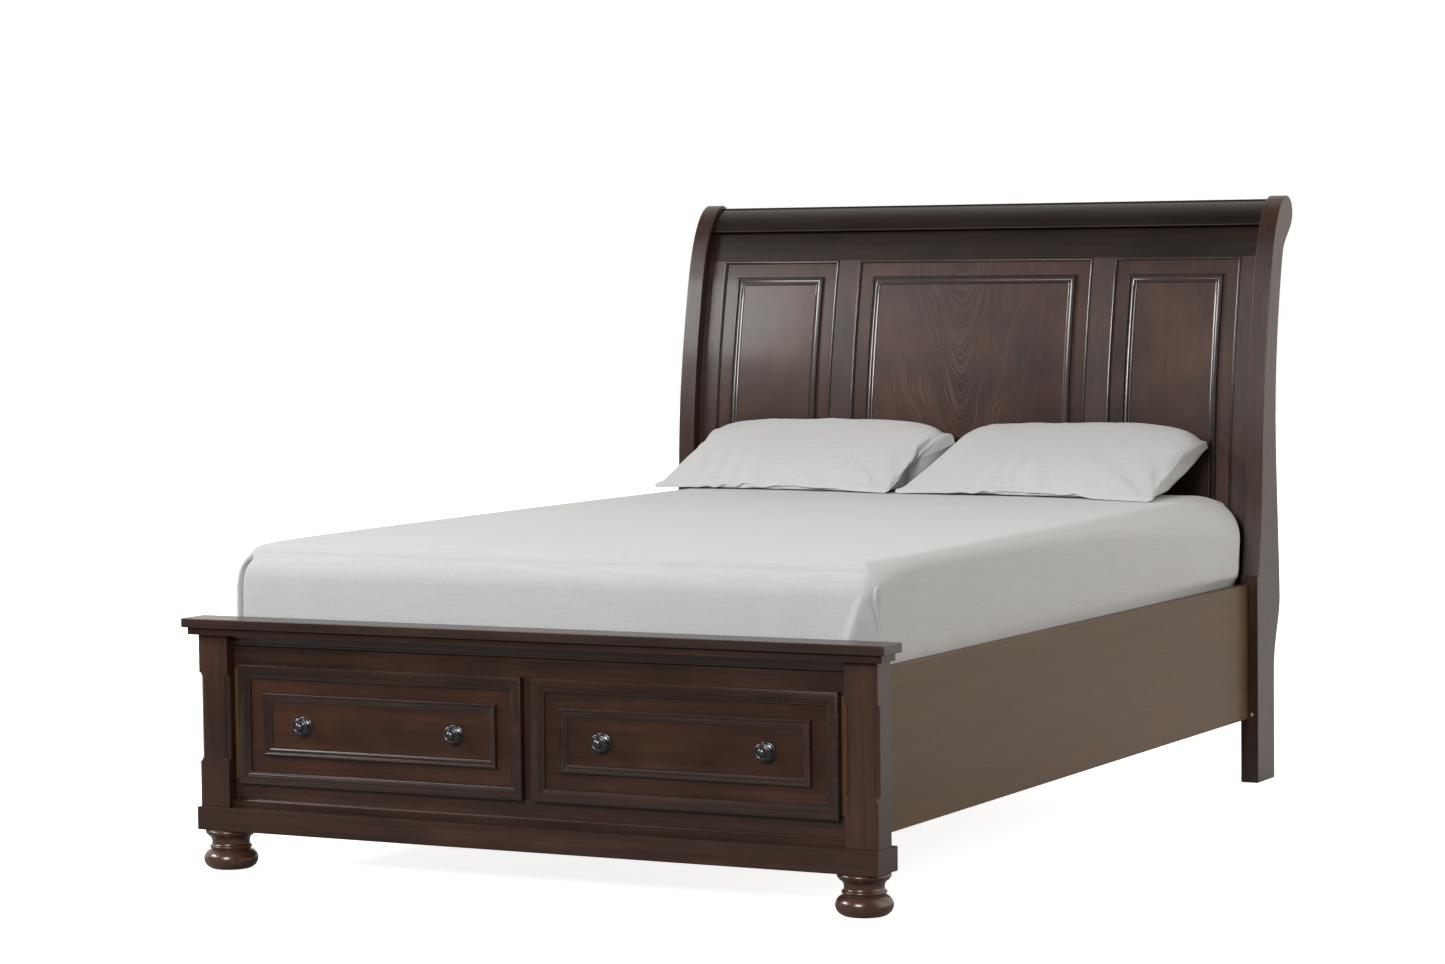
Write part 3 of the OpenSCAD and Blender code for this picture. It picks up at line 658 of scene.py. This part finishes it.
FRAME_SECTION = [(0, 16), (0, 1.6), (0.6, 0.5), (1.8, 0), (15, 0), (16.6, 0.4), (17.8, 1.4), (18.6, 2.2),
                 (20.2, 2.2), (21.6, 2.8), (23.2, 4.2), (24.6, 5.6), (26, 6.2), (28, 6.4), (28, 10), (22, 10),
                 (22, 16)]
PANEL_SECTION = [(0, 8), (0, 2.6), (0.6, 1.0), (2, 0.1), (4.2, 0), (5.8, 0.7), (6.8, 2.2), (8.2, 2.9),
                 (11, 3.2), (13.4, 4.2), (15.2, 5.4), (17, 6.1), (18.4, 6.3), (19, 7), (19, 8)]


def build_drawer(side):
    pre = "drawer_" + side + "_"
    for part, section in (("frame", FRAME_SECTION), ("moulding", PANEL_SECTION)):
        lo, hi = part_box(pre + part)
        c = (lo + hi) / 2
        o = mitred(pre + part + "_run", (hi.x - lo.x) / 2, (hi.z - lo.z) / 2, (c.x, lo.y, c.z),
                   [(a * MM, d * MM) for a, d in section])
        place(o, pre + part, WOOD["edge"])
    for n in ("box_front", "sides", "back"):
        refine(pre + n, 0.0012, segments=2)
    # knobs: a thin rosette, a neck, and a stepped head with a domed middle
    lo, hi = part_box(pre + "knobs")
    r = (hi.z - lo.z) / 2
    profile = [(0, 0), (19, 0), (19.8, 0.5), (20, 1.2), (19.6, 2.1), (18.6, 2.9), (16.6, 3.2), (15.4, 3.0),
            (14.6, 3.4), (12.4, 4.3), (9.8, 5.8), (8.2, 8), (7.5, 10.6), (8, 13), (10, 15), (13.4, 16.3),
            (16.6, 17), (18.2, 17.9), (18.8, 19), (18.5, 20.2), (17.4, 21), (15.9, 21.2), (15, 21.4),
            (14.7, 22.2), (13.9, 22.8), (12.8, 22.8), (12, 22.3), (11.5, 21.9), (11, 22.2)]
    profile += arc(0, 20, 11, 9, 14, 90, 12)
    knobs = [lathe("knob", [(a * MM, h * MM) for a, h in profile], (x, hi.y, (lo.z + hi.z) / 2), "-y", 72)
             for x in (lo.x + r, hi.x - r)]
    place(join(pre + "knobs_turned", knobs), pre + "knobs", KNOB)


# ---------------------------------------------------------------- bedding

RAIL_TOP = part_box("side_rail_right")[1].z


def smoothstep(t):
    return t * t * (3 - 2 * t)


def ramp_up(value, width):
    """From 0 at value 0 to 1 at value width."""
    return np.clip(value / width, 0, 1)


def rounded_box(name, lo, hi, counts, r_corner, r_edge):
    """Closed block of quads with rounded edges, as a mesh and its points; r_edge(points) gives the radius of
    the top and bottom edges."""
    c, half = (lo + hi) / 2, np.array((hi - lo) / 2)

    def spaced(n, power):
        t = np.linspace(-1, 1, n + 1)
        return np.sign(t) * (1 - (1 - np.abs(t)) ** power)

    grid = [spaced(counts[0], 1.7), spaced(counts[1], 1.7), spaced(counts[2], 1.15)]
    bm = bmesh.new()
    seen = {}

    def vert(p):
        k = tuple(round(float(q), 7) for q in p)
        if k not in seen:
            seen[k] = bm.verts.new(k)
        return seen[k]

    for axis in range(3):
        u, v = [i for i in range(3) if i != axis]
        for side in (-1.0, 1.0):
            for i in range(counts[u]):
                for j in range(counts[v]):
                    quad = []
                    for du, dv in ((0, 0), (1, 0), (1, 1), (0, 1)):
                        p = [0.0, 0.0, 0.0]
                        p[axis], p[u], p[v] = side, grid[u][i + du], grid[v][j + dv]
                        quad.append(vert(p))
                    bm.faces.new(quad)
    bmesh.ops.recalc_face_normals(bm, faces=bm.faces)
    me = bpy.data.meshes.new(name)
    bm.to_mesh(me)
    bm.free()
    q = np.array([v.co for v in me.vertices]) * half
    # plan corners
    inner = half[:2] - r_corner
    d = np.maximum(np.abs(q[:, :2]) - inner, 0)
    k = np.maximum(d[:, 0], d[:, 1]) / np.maximum(np.hypot(d[:, 0], d[:, 1]), 1e-9)
    k = np.where(d.max(1) > 0, k, 1)
    q[:, :2] = np.sign(q[:, :2]) * (np.minimum(np.abs(q[:, :2]), inner) + d * k[:, None])
    # top and bottom edges
    r = r_edge(q)
    d = np.maximum(np.abs(q[:, :2]) - inner, 0)
    gap = half[:2] - np.abs(q[:, :2])
    corner = (d[:, 0] > 0) & (d[:, 1] > 0)
    near = np.where(corner, r_corner - np.hypot(d[:, 0], d[:, 1]), gap.min(1))
    a = np.clip(r - near, 0, r)
    b = np.clip(np.abs(q[:, 2]) - (half[2] - r), 0, r)
    m = np.where((a > 0) & (b > 0), np.maximum(a, b) / np.maximum(np.hypot(a, b), 1e-9), 1)
    sx = gap[:, 0] <= gap[:, 1]
    out = np.stack([np.where(sx, np.sign(q[:, 0]), 0), np.where(sx, 0, np.sign(q[:, 1]))], 1)
    round_corner = np.sign(q[:, :2]) * d / np.maximum(np.hypot(d[:, 0], d[:, 1]), 1e-9)[:, None]
    out = np.where(corner[:, None], round_corner, out)
    q[:, :2] -= out * (a * (1 - m))[:, None]
    q[:, 2] = np.sign(q[:, 2]) * (np.abs(q[:, 2]) - b * (1 - m))
    return me, q + np.array(c)


TUCK_SLOPE = 0.72


def tuck_reach(below):
    """How far the foot tuck is open, at a distance below its apex."""
    return 0.040 * np.clip(below / 0.10, 0, 1.5) ** 0.8


def build_mattress():
    """Mattress in a fitted sheet: soft edges, a tuck, a crease and faint pull lines."""
    lo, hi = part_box("mattress")
    length = hi.y - lo.y

    def r_edge(q):
        from_foot = q[:, 1] + length / 2
        side = 0.028 + 0.080 * (from_foot / length) ** 2
        return side + (0.078 - side) * np.exp(-from_foot / 0.09)

    me, q = rounded_box("mattress_in_sheet", lo, hi, (190, 240, 40), 0.034, r_edge)
    up = np.clip((q[:, 2] - lo.z) / (hi.z - lo.z), 0, 1)
    q[:, 2] += np.clip(2 * up - 1, 0, 1) * (-0.008 + 0.012 * (q[:, 1] - lo.y) / length)
    # pull lines down the faces, strongest near the corners of the foot
    x, y, z = q.T
    face = ramp_up(hi.z - 0.05 - z, 0.08)
    foot_near = np.exp(-np.minimum(hi.x - x, x - lo.x) / 0.22)
    wave = 0.0012 * np.sin(38 * x + 9 * z + 1.2 * np.sin(11 * x)) * (0.4 + foot_near)
    q[:, 1] -= face * np.where(y < lo.y + 0.05, wave, 0)
    ends = np.exp(-np.minimum(y - lo.y, hi.y - y) / 0.30)
    wave = 0.0011 * np.sin(31 * y - 14 * z + 1.5 * np.sin(7 * y)) * (0.35 + 1.2 * ends)
    q[:, 0] += face * np.where(x > hi.x - 0.05, wave, np.where(x < lo.x + 0.05, -wave, 0))
    # right corner of the foot: a three-cornered tuck that opens downwards, with a stitched hem
    apex = hi.z - 0.062
    below = np.clip(apex - z, 0, None)
    reach = tuck_reach(below)
    s = hi.x - x
    inside = (below > 0) & (s < reach) & (y < lo.y + 0.12)
    q[:, 1] = np.where(inside, np.maximum(q[:, 1], lo.y + TUCK_SLOPE * (reach - s)), q[:, 1])
    ridge = 0.0055 * np.exp(-((s - reach - 0.012) / 0.011) ** 2) * ramp_up(below, 0.03)
    q[:, 1] -= np.where((y < lo.y + 0.03) & (below > 0), ridge, 0)
    # above the rails the sheet stands out a little at the foot on the left and at the head on the right
    drop = smoothstep(ramp_up(hi.z - 0.010 - z, 0.10) * ramp_up(z - RAIL_TOP - 0.009, 0.015))
    stand_out = 0.019 * drop * np.exp(-(y - lo.y) / 0.25) * ramp_up(lo.x + 0.10 - x, 0.10)
    q[:, 0] -= np.where(x < 0, stand_out, 0)
    fuller = 0.017 * drop * np.exp(-(hi.y - y) / 0.35) * ramp_up(x - hi.x + 0.10, 0.10)
    # beside the headboard post the sheet is drawn in, so that it clears the post
    leg_top = FRONT[0][0][1] * MM
    post_front = LEG_Y + np.where(z > leg_top, np.interp(z, FRONT_EDGE[:, 1], FRONT_EDGE[:, 0]), 0)
    beside = smoothstep(ramp_up(y - post_front + 0.055, 0.045))
    fuller = fuller * (1 - beside) + np.minimum(fuller, 0.003) * beside
    q[:, 0] += np.where(x > 0, fuller, 0)
    # left corner of the foot: a deep crease
    line = lo.x + 0.008 + 0.020 * np.exp(-np.clip(hi.z - 0.040 - z, 0, None) / 0.018)
    crease = 0.022 * np.exp(-((x - line) / 0.0050) ** 2) * ramp_up(hi.z - 0.030 - z, 0.02)
    q[:, 1] += np.where(y < lo.y + 0.06, crease, 0)
    me.vertices.foreach_set("co", q.astype(np.float32).ravel())
    me.update()
    o = bpy.data.objects.new("mattress_in_sheet", me)
    scene.collection.objects.link(o)
    # the hem runs down the tuck's edge and ends above the rail
    path = []
    steps = 24
    for i in range(steps + 1):
        z = apex + 0.004 - i * (apex - RAIL_TOP + 0.003) / steps
        r = tuck_reach(max(apex - z, 0))
        path.append(Vector((hi.x, lo.y + TUCK_SLOPE * r + 0.001 + 0.012 * math.exp(-(apex - z) / 0.012), z)))
    o = join("mattress_in_sheet", [o, tube("hem", path, 0.0030)])
    soften(o, 60)
    place(o, "mattress", SHEET)
    return o


def tube(name, path, radius, sides=8):
    """Round cord along a path that runs mostly up or down, closed at both ends."""
    turn = [2 * math.pi * k / sides for k in range(sides)]
    verts = [p + Vector((radius * math.cos(a), radius * math.sin(a), 0)) for p in path for a in turn]
    n = len(path)
    ends = [tuple(range(sides - 1, -1, -1)), tuple(range((n - 1) * sides, n * sides))]
    return mesh_object(name, verts, skin(sides, n) + ends, 60)


PILLOW_PRESSURE = 2.2
PILLOW_FLAT = (0.74, 0.43)
PILLOW_QUADS = (76, 44)
PILLOW_FRAMES = 24
PILLOWS = {
    # tips: front left, front right, rear left, rear right; then the seed
    "pillow_left": ([(-0.785, 0.800, 0.719), (-0.088, 0.760, 0.718), (-0.745, 1.015, 0.826),
                     (-0.005, 1.000, 0.834)], 3),
    "pillow_right": ([(-0.075, 0.770, 0.719), (0.672, 0.640, 0.716), (0.018, 1.010, 0.824),
                      (0.676, 1.020, 0.829)], 8),
}


def blown_pillow(name, seed):
    """Two sheets of cloth sewn round the edge and blown up; returns the object and its seam loop."""
    width, depth = PILLOW_FLAT
    nx, ny = PILLOW_QUADS
    phase = np.random.RandomState(seed).uniform(0, 2 * math.pi, 3)
    verts, faces = [], []
    for s in (1, -1):
        for j in range(ny + 1):
            for i in range(nx + 1):
                u, v = 2 * i / nx - 1, 2 * j / ny - 1
                edge = (1 - abs(u) ** 6) * (1 - abs(v) ** 6)
                wave = 0.0016 * math.sin(9 * u + phase[0]) * math.cos(4 * v + phase[1])
                wave += 0.001 * math.sin(23 * u + phase[2])
                verts.append((u * width / 2, v * depth / 2, s * 0.010 * edge + wave * edge))
    row = nx + 1
    base = row * (ny + 1)
    for j in range(ny):
        for i in range(nx):
            a = j * row + i
            faces.append((a, a + 1, a + row + 1, a + row))
            faces.append((base + a, base + a + row, base + a + row + 1, base + a + 1))
    # the seam, once round: the two sheets share these points
    loop = [i for i in range(nx)] + [j * row + nx for j in range(ny)]
    loop += [ny * row + i for i in range(nx, 0, -1)] + [j * row for j in range(ny, 0, -1)]
    seam = set(loop)
    faces = [tuple(q - base if q - base in seam else q for q in f) for f in faces]
    me = bpy.data.meshes.new(name)
    me.from_pydata(verts, [], faces)
    o = bpy.data.objects.new(name, me)
    scene.collection.objects.link(o)
    cloth = o.modifiers.new("cloth", "CLOTH")
    st = cloth.settings
    st.quality = 8
    st.mass = 0.3
    st.tension_stiffness = st.compression_stiffness = 15
    st.shear_stiffness = 5
    st.bending_stiffness = 0.5
    st.tension_damping = st.compression_damping = st.shear_damping = 5
    st.air_damping = 2
    st.use_pressure = True
    st.uniform_pressure_force = PILLOW_PRESSURE
    st.effector_weights.gravity = 0
    cloth.collision_settings.use_collision = False
    cloth.collision_settings.use_self_collision = False
    cloth.point_cache.frame_start = 1
    cloth.point_cache.frame_end = PILLOW_FRAMES
    for f in range(1, PILLOW_FRAMES + 1):
        scene.frame_set(f)
    apply_modifiers(o)
    scene.frame_set(1)
    return o, loop


def lay_pillow(o, loop, tips, seed, mattress_top):
    """Carries the blown pillow to its four tips, then lets it rest on the mattress and the headboard."""
    me = o.data
    co = np.array([v.co for v in me.vertices], float)
    half_x, half_y = np.abs(co[loop, 0]).max(), np.abs(co[loop, 1]).max()
    t = [np.array(q) for q in tips]
    a = np.clip(co[:, 0] / half_x * 0.5 + 0.5, 0, 1)[:, None]
    b = np.clip(co[:, 1] / half_y * 0.5 + 0.5, 0, 1)[:, None]
    flat = (t[0] * (1 - a) + t[1] * a) * (1 - b) + (t[2] * (1 - a) + t[3] * a) * b
    u = co[:, 0] / half_x
    # the stuffing reaches well into the ends, and the front rises as a slope
    bins = np.linspace(0, 1, 21)
    crest = np.array([np.abs(co[np.abs(np.abs(u) - k) < 0.04, 2]).max() for k in bins])
    k = np.minimum(np.abs(u), 1)
    end = np.where(u < 0, (1 - k ** 11) ** 0.6, (1 - k ** 5) ** 0.6) * crest[0]
    end = end * (1 - 0.07 * np.exp(-(u / 0.4) ** 2) + 0.07 * np.exp(-((u + 0.78) / 0.16) ** 2))
    boost = np.minimum(end / np.maximum(np.interp(np.abs(u), bins, crest), 1e-4), 3)
    v = co[:, 1] / half_y
    slope = np.clip((v + 1) / 1.45, 0, 1) ** 0.5
    h = co[:, 2] * boost * np.where(co[:, 2] > 0, slope, 1)
    # pull folds: short ones rising from the front seam, longer ones fanning from the right front tip
    wide = 0.55 + 0.45 * np.sin(4.3 * u + seed)
    folds = np.sin(27 * u + 3 * np.sin(6 * u + seed) + 0.9 * v) * wide
    at_seam = np.clip((1 - np.abs(u)) / 0.12, 0, 1) * np.clip((v + 1) / 0.16, 0, 1)
    h += 0.0085 * folds * np.exp(-((v + 0.70) / 0.26) ** 2) * at_seam * (co[:, 2] > 0)
    turn = np.arctan2(v + 1, 1.02 - u)
    far = np.hypot(v + 1, 1.02 - u)
    h += 0.006 * np.sin(13 * turn + 0.5) * np.exp(-((far - 0.45) / 0.30) ** 2) * (co[:, 2] > 0)
    lean = np.array((0.0, 0.85, 1.0))
    at = flat + np.where(h > 0, h, 0)[:, None] * lean + np.where(h < 0, h, 0)[:, None] * np.array((0, 0, 1.0))
    # the right end is pushed out into a face of its own between the two right tips
    steep = smoothstep(ramp_up(u - 0.25, 0.6))
    across = (t[1] - t[0]) / np.linalg.norm(t[1] - t[0])
    at += across * (0.75 * np.clip(h, 0, None) * steep)[:, None]
    # it eases to a stop just above the mattress and just before the headboard's frame
    soft, clear, frame_depth = 0.016, 0.0015, 0.025
    floor = mattress_top + clear
    low_z = np.maximum(floor + soft - at[:, 2], 0)
    at[:, 2] = np.where(low_z > 0, floor + soft * np.exp(-low_z / soft), at[:, 2])
    limit = LEG_Y + np.interp(at[:, 2], FRONT_EDGE[:, 1], FRONT_EDGE[:, 0]) + frame_depth - clear
    over = np.maximum(at[:, 1] - (limit - soft), 0)
    at[:, 1] = np.where(over > 0, limit - soft * np.exp(-over / soft), at[:, 1])
    me.vertices.foreach_set("co", at.astype(np.float32).ravel())
    me.update()


def sew_edge(loop, o):
    """The stitched edge of the case: a flat band along the front, narrow elsewhere."""
    ring = np.array([v.co for v in o.data.vertices], float)[loop]
    n = len(ring)
    ring = (np.roll(ring, 1, 0) + 2 * ring + np.roll(ring, -1, 0)) / 4
    mid = ring.mean(0)
    along = np.roll(ring, -1, 0) - np.roll(ring, 1, 0)
    along /= np.linalg.norm(along, axis=1)[:, None]
    plane = np.array((0.0, -0.25, 0.97))
    out = np.cross(along, plane)
    out *= np.sign((out * (ring - mid)).sum(1))[:, None]
    ahead = np.zeros(n)
    ahead[:PILLOW_QUADS[0] + 1] = 1.0
    ahead = (np.roll(ahead, 1) + ahead + np.roll(ahead, -1)) / 3
    out = out * (1 - 0.45 * ahead)[:, None] + np.array((0, 0, -0.9)) * ahead[:, None]
    out /= np.linalg.norm(out, axis=1)[:, None]
    side = np.cross(along, out)
    side /= np.linalg.norm(side, axis=1)[:, None]
    reach = (0.0015 + 0.0075 * ahead)[:, None]
    verts = []
    for d, h in ((-0.2, 0.0012), (1, 0.0009), (1, -0.0009), (-0.2, -0.0012)):
        verts += [tuple(q) for q in ring + out * reach * d + side * h]
    faces = [(r * n + k, r * n + (k + 1) % n, (r + 1) % 4 * n + (k + 1) % n, (r + 1) % 4 * n + k)
             for r in range(4) for k in range(n)]
    return mesh_object("edge", verts, faces, 60)


def build_bedding():
    mattress_top = max(v.co.z for v in build_mattress().data.vertices)
    for node, (tips, seed) in PILLOWS.items():
        o, loop = blown_pillow(node + "_case", seed)
        lay_pillow(o, loop, tips, seed, mattress_top)
        edge = sew_edge(loop, o)
        sub = o.modifiers.new("smooth", "SUBSURF")
        sub.levels = sub.render_levels = 1
        apply_modifiers(o)
        o = join(node + "_case", [o, edge])
        soften(o, 60)
        place(o, node, PILLOW)


# ---------------------------------------------------------------- the rest of the frame

def build_frame():
    for n in ("side_rail_left", "side_rail_right"):
        refine(n, 0.0015)
    for n in ("case_partitions", "case_back", "slats", "center_beam", "center_legs", "rail_cleats"):
        refine(n, 0.001, segments=2)


# ---------------------------------------------------------------- stage, light, camera

FRONT_TONE = (0.07, 0.07, 0.07)
BACK_TONE = (0.98, 0.935, 0.88)
TOP_TONE = (0.08, 0.08, 0.08)
SIDE_TONE = 2.3
FLOOR_GLOW = 0.85
# name, place, what it points at, size in metres, power in watts
LIGHTS = [
    ("key_left", (-5.6, -3.4, 3.9), (0, 0.2, 0.6), (1.6, 1.6), 235),
    ("front", (0.7, -8.3, 3.9), (0, 0, 0.6), (2.5, 2.0), 480),
    ("panel_glow", (-3.95, -4.0, 3.15), (-0.6, 1.05, 1.15), (1.3, 0.9), 44),
]


def build_stage():
    me = bpy.data.meshes.new("floor")
    me.from_pydata([(-14, -2.9, 0), (9, -2.9, 0), (9, 22, 0), (-14, 22, 0)], [], [(0, 1, 2, 3)])
    floor = bpy.data.objects.new("floor", me)
    scene.collection.objects.link(floor)
    m, nodes, links, bsdf = new_material("floor_white")
    v = mapped(nodes, links, (1, 1, 1))
    cloud = noise(nodes, links, v, 2.0, 2.0)
    tone = ramp(nodes, links, cloud, [(0.3, (0.90, 0.90, 0.895)), (0.7, (0.92, 0.92, 0.915))])
    # Camera rays see the floor evenly white, glowing by FLOOR_GLOW. All other rays see a painted shade, a
    # grey that darkens towards the front, which dims the floor's bounce light and its reflection in the wood.
    path = nodes.new("ShaderNodeLightPath")
    c = nodes.new("ShaderNodeTexCoord")
    split = nodes.new("ShaderNodeSeparateXYZ")
    links.new(c.outputs["Object"], split.inputs[0])
    depth = math_node(nodes, links, "MULTIPLY", math_node(nodes, links, "ADD", split.outputs["Y"], 1.5), 0.3)
    painted_bounce_shade = ramp(nodes, links, depth, [(0.0, (0.25, 0.25, 0.25)), (0.9, (0.92, 0.92, 0.92))])
    seen = mix_color(nodes, links, path.outputs["Is Camera Ray"], painted_bounce_shade, tone)
    links.new(seen, bsdf.inputs["Base Color"])
    bsdf.inputs["Emission Color"].default_value = (1, 1, 1, 1)
    glow = math_node(nodes, links, "MULTIPLY", path.outputs["Is Camera Ray"], FLOOR_GLOW)
    links.new(glow, bsdf.inputs["Emission Strength"])
    bsdf.inputs["Roughness"].default_value = 0.9
    bsdf.inputs["Specular IOR Level"].default_value = 0.1
    paint(floor, m)

    # studio: bright behind and overhead, dark in front; the backdrop itself is white
    world = bpy.data.worlds.new("studio")
    scene.world = world
    world.use_nodes = True
    nodes, links = world.node_tree.nodes, world.node_tree.links
    bg = nodes["Background"]
    coord = nodes.new("ShaderNodeTexCoord")
    split = nodes.new("ShaderNodeSeparateXYZ")
    links.new(coord.outputs["Generated"], split.inputs[0])
    half_y = math_node(nodes, links, "MULTIPLY", split.outputs["Y"], 0.5)
    depth = math_node(nodes, links, "ADD", half_y, 0.5)
    behind = ramp(nodes, links, depth, [(0.36, FRONT_TONE), (0.56, BACK_TONE)])
    above = ramp(nodes, links, split.outputs["Z"], [(0.40, (0, 0, 0)), (0.85, TOP_TONE)])
    sky = mix_color(nodes, links, 1.0, behind, above, "ADD")
    sides = ramp(nodes, links, split.outputs["X"], [(0.55, (1, 1, 1)), (0.85, (SIDE_TONE,) * 3)])
    sky = mix_color(nodes, links, 1.0, sky, sides, "MULTIPLY")
    links.new(sky, bg.inputs[0])
    bg.inputs[1].default_value = 1.0
    white = nodes.new("ShaderNodeBackground")
    white.inputs[0].default_value = (1, 1, 1, 1)
    mix = nodes.new("ShaderNodeMixShader")
    path = nodes.new("ShaderNodeLightPath")
    links.new(path.outputs["Is Camera Ray"], mix.inputs[0])
    links.new(bg.outputs[0], mix.inputs[1])
    links.new(white.outputs[0], mix.inputs[2])
    links.new(mix.outputs[0], nodes["World Output"].inputs["Surface"])

    for name, loc, target, size, power in LIGHTS:
        d = bpy.data.lights.new(name, "AREA")
        d.shape = "RECTANGLE"
        d.size, d.size_y = size
        d.energy = power
        o = bpy.data.objects.new(name, d)
        o.location = loc
        o.rotation_euler = (Vector(target) - Vector(loc)).to_track_quat("-Z", "Y").to_euler()
        scene.collection.objects.link(o)


CAMERA_PLACE = (4.1200, -8.1316, 1.31875)
CAMERA_TURN = (27.76, 3.326, -0.67)     # azimuth, elevation and roll, in degrees
CAMERA_LENS = 97.16836                  # millimetres, on a 36 mm wide sensor


def build_camera():
    d = bpy.data.cameras.new("camera")
    d.sensor_width = 36
    d.sensor_fit = "HORIZONTAL"
    d.lens = CAMERA_LENS
    d.clip_end = 200
    o = bpy.data.objects.new("camera", d)
    az, el, roll = [math.radians(a) for a in CAMERA_TURN]
    back = Vector((math.cos(el) * math.sin(az), -math.cos(el) * math.cos(az), math.sin(el)))
    level = Vector((math.cos(az), math.sin(az), 0))
    upright = back.cross(level)
    right = level * math.cos(roll) + upright * math.sin(roll)
    up = upright * math.cos(roll) - level * math.sin(roll)
    m = Matrix((right, up, back)).transposed().to_4x4()
    m.translation = Vector(CAMERA_PLACE)
    o.matrix_world = m
    scene.collection.objects.link(o)
    scene.camera = o


build_headboard()
build_footboard()
build_drawer("left")
build_drawer("right")
build_bedding()
build_frame()
build_stage()
build_camera()
scene.view_settings.view_transform = "Standard"
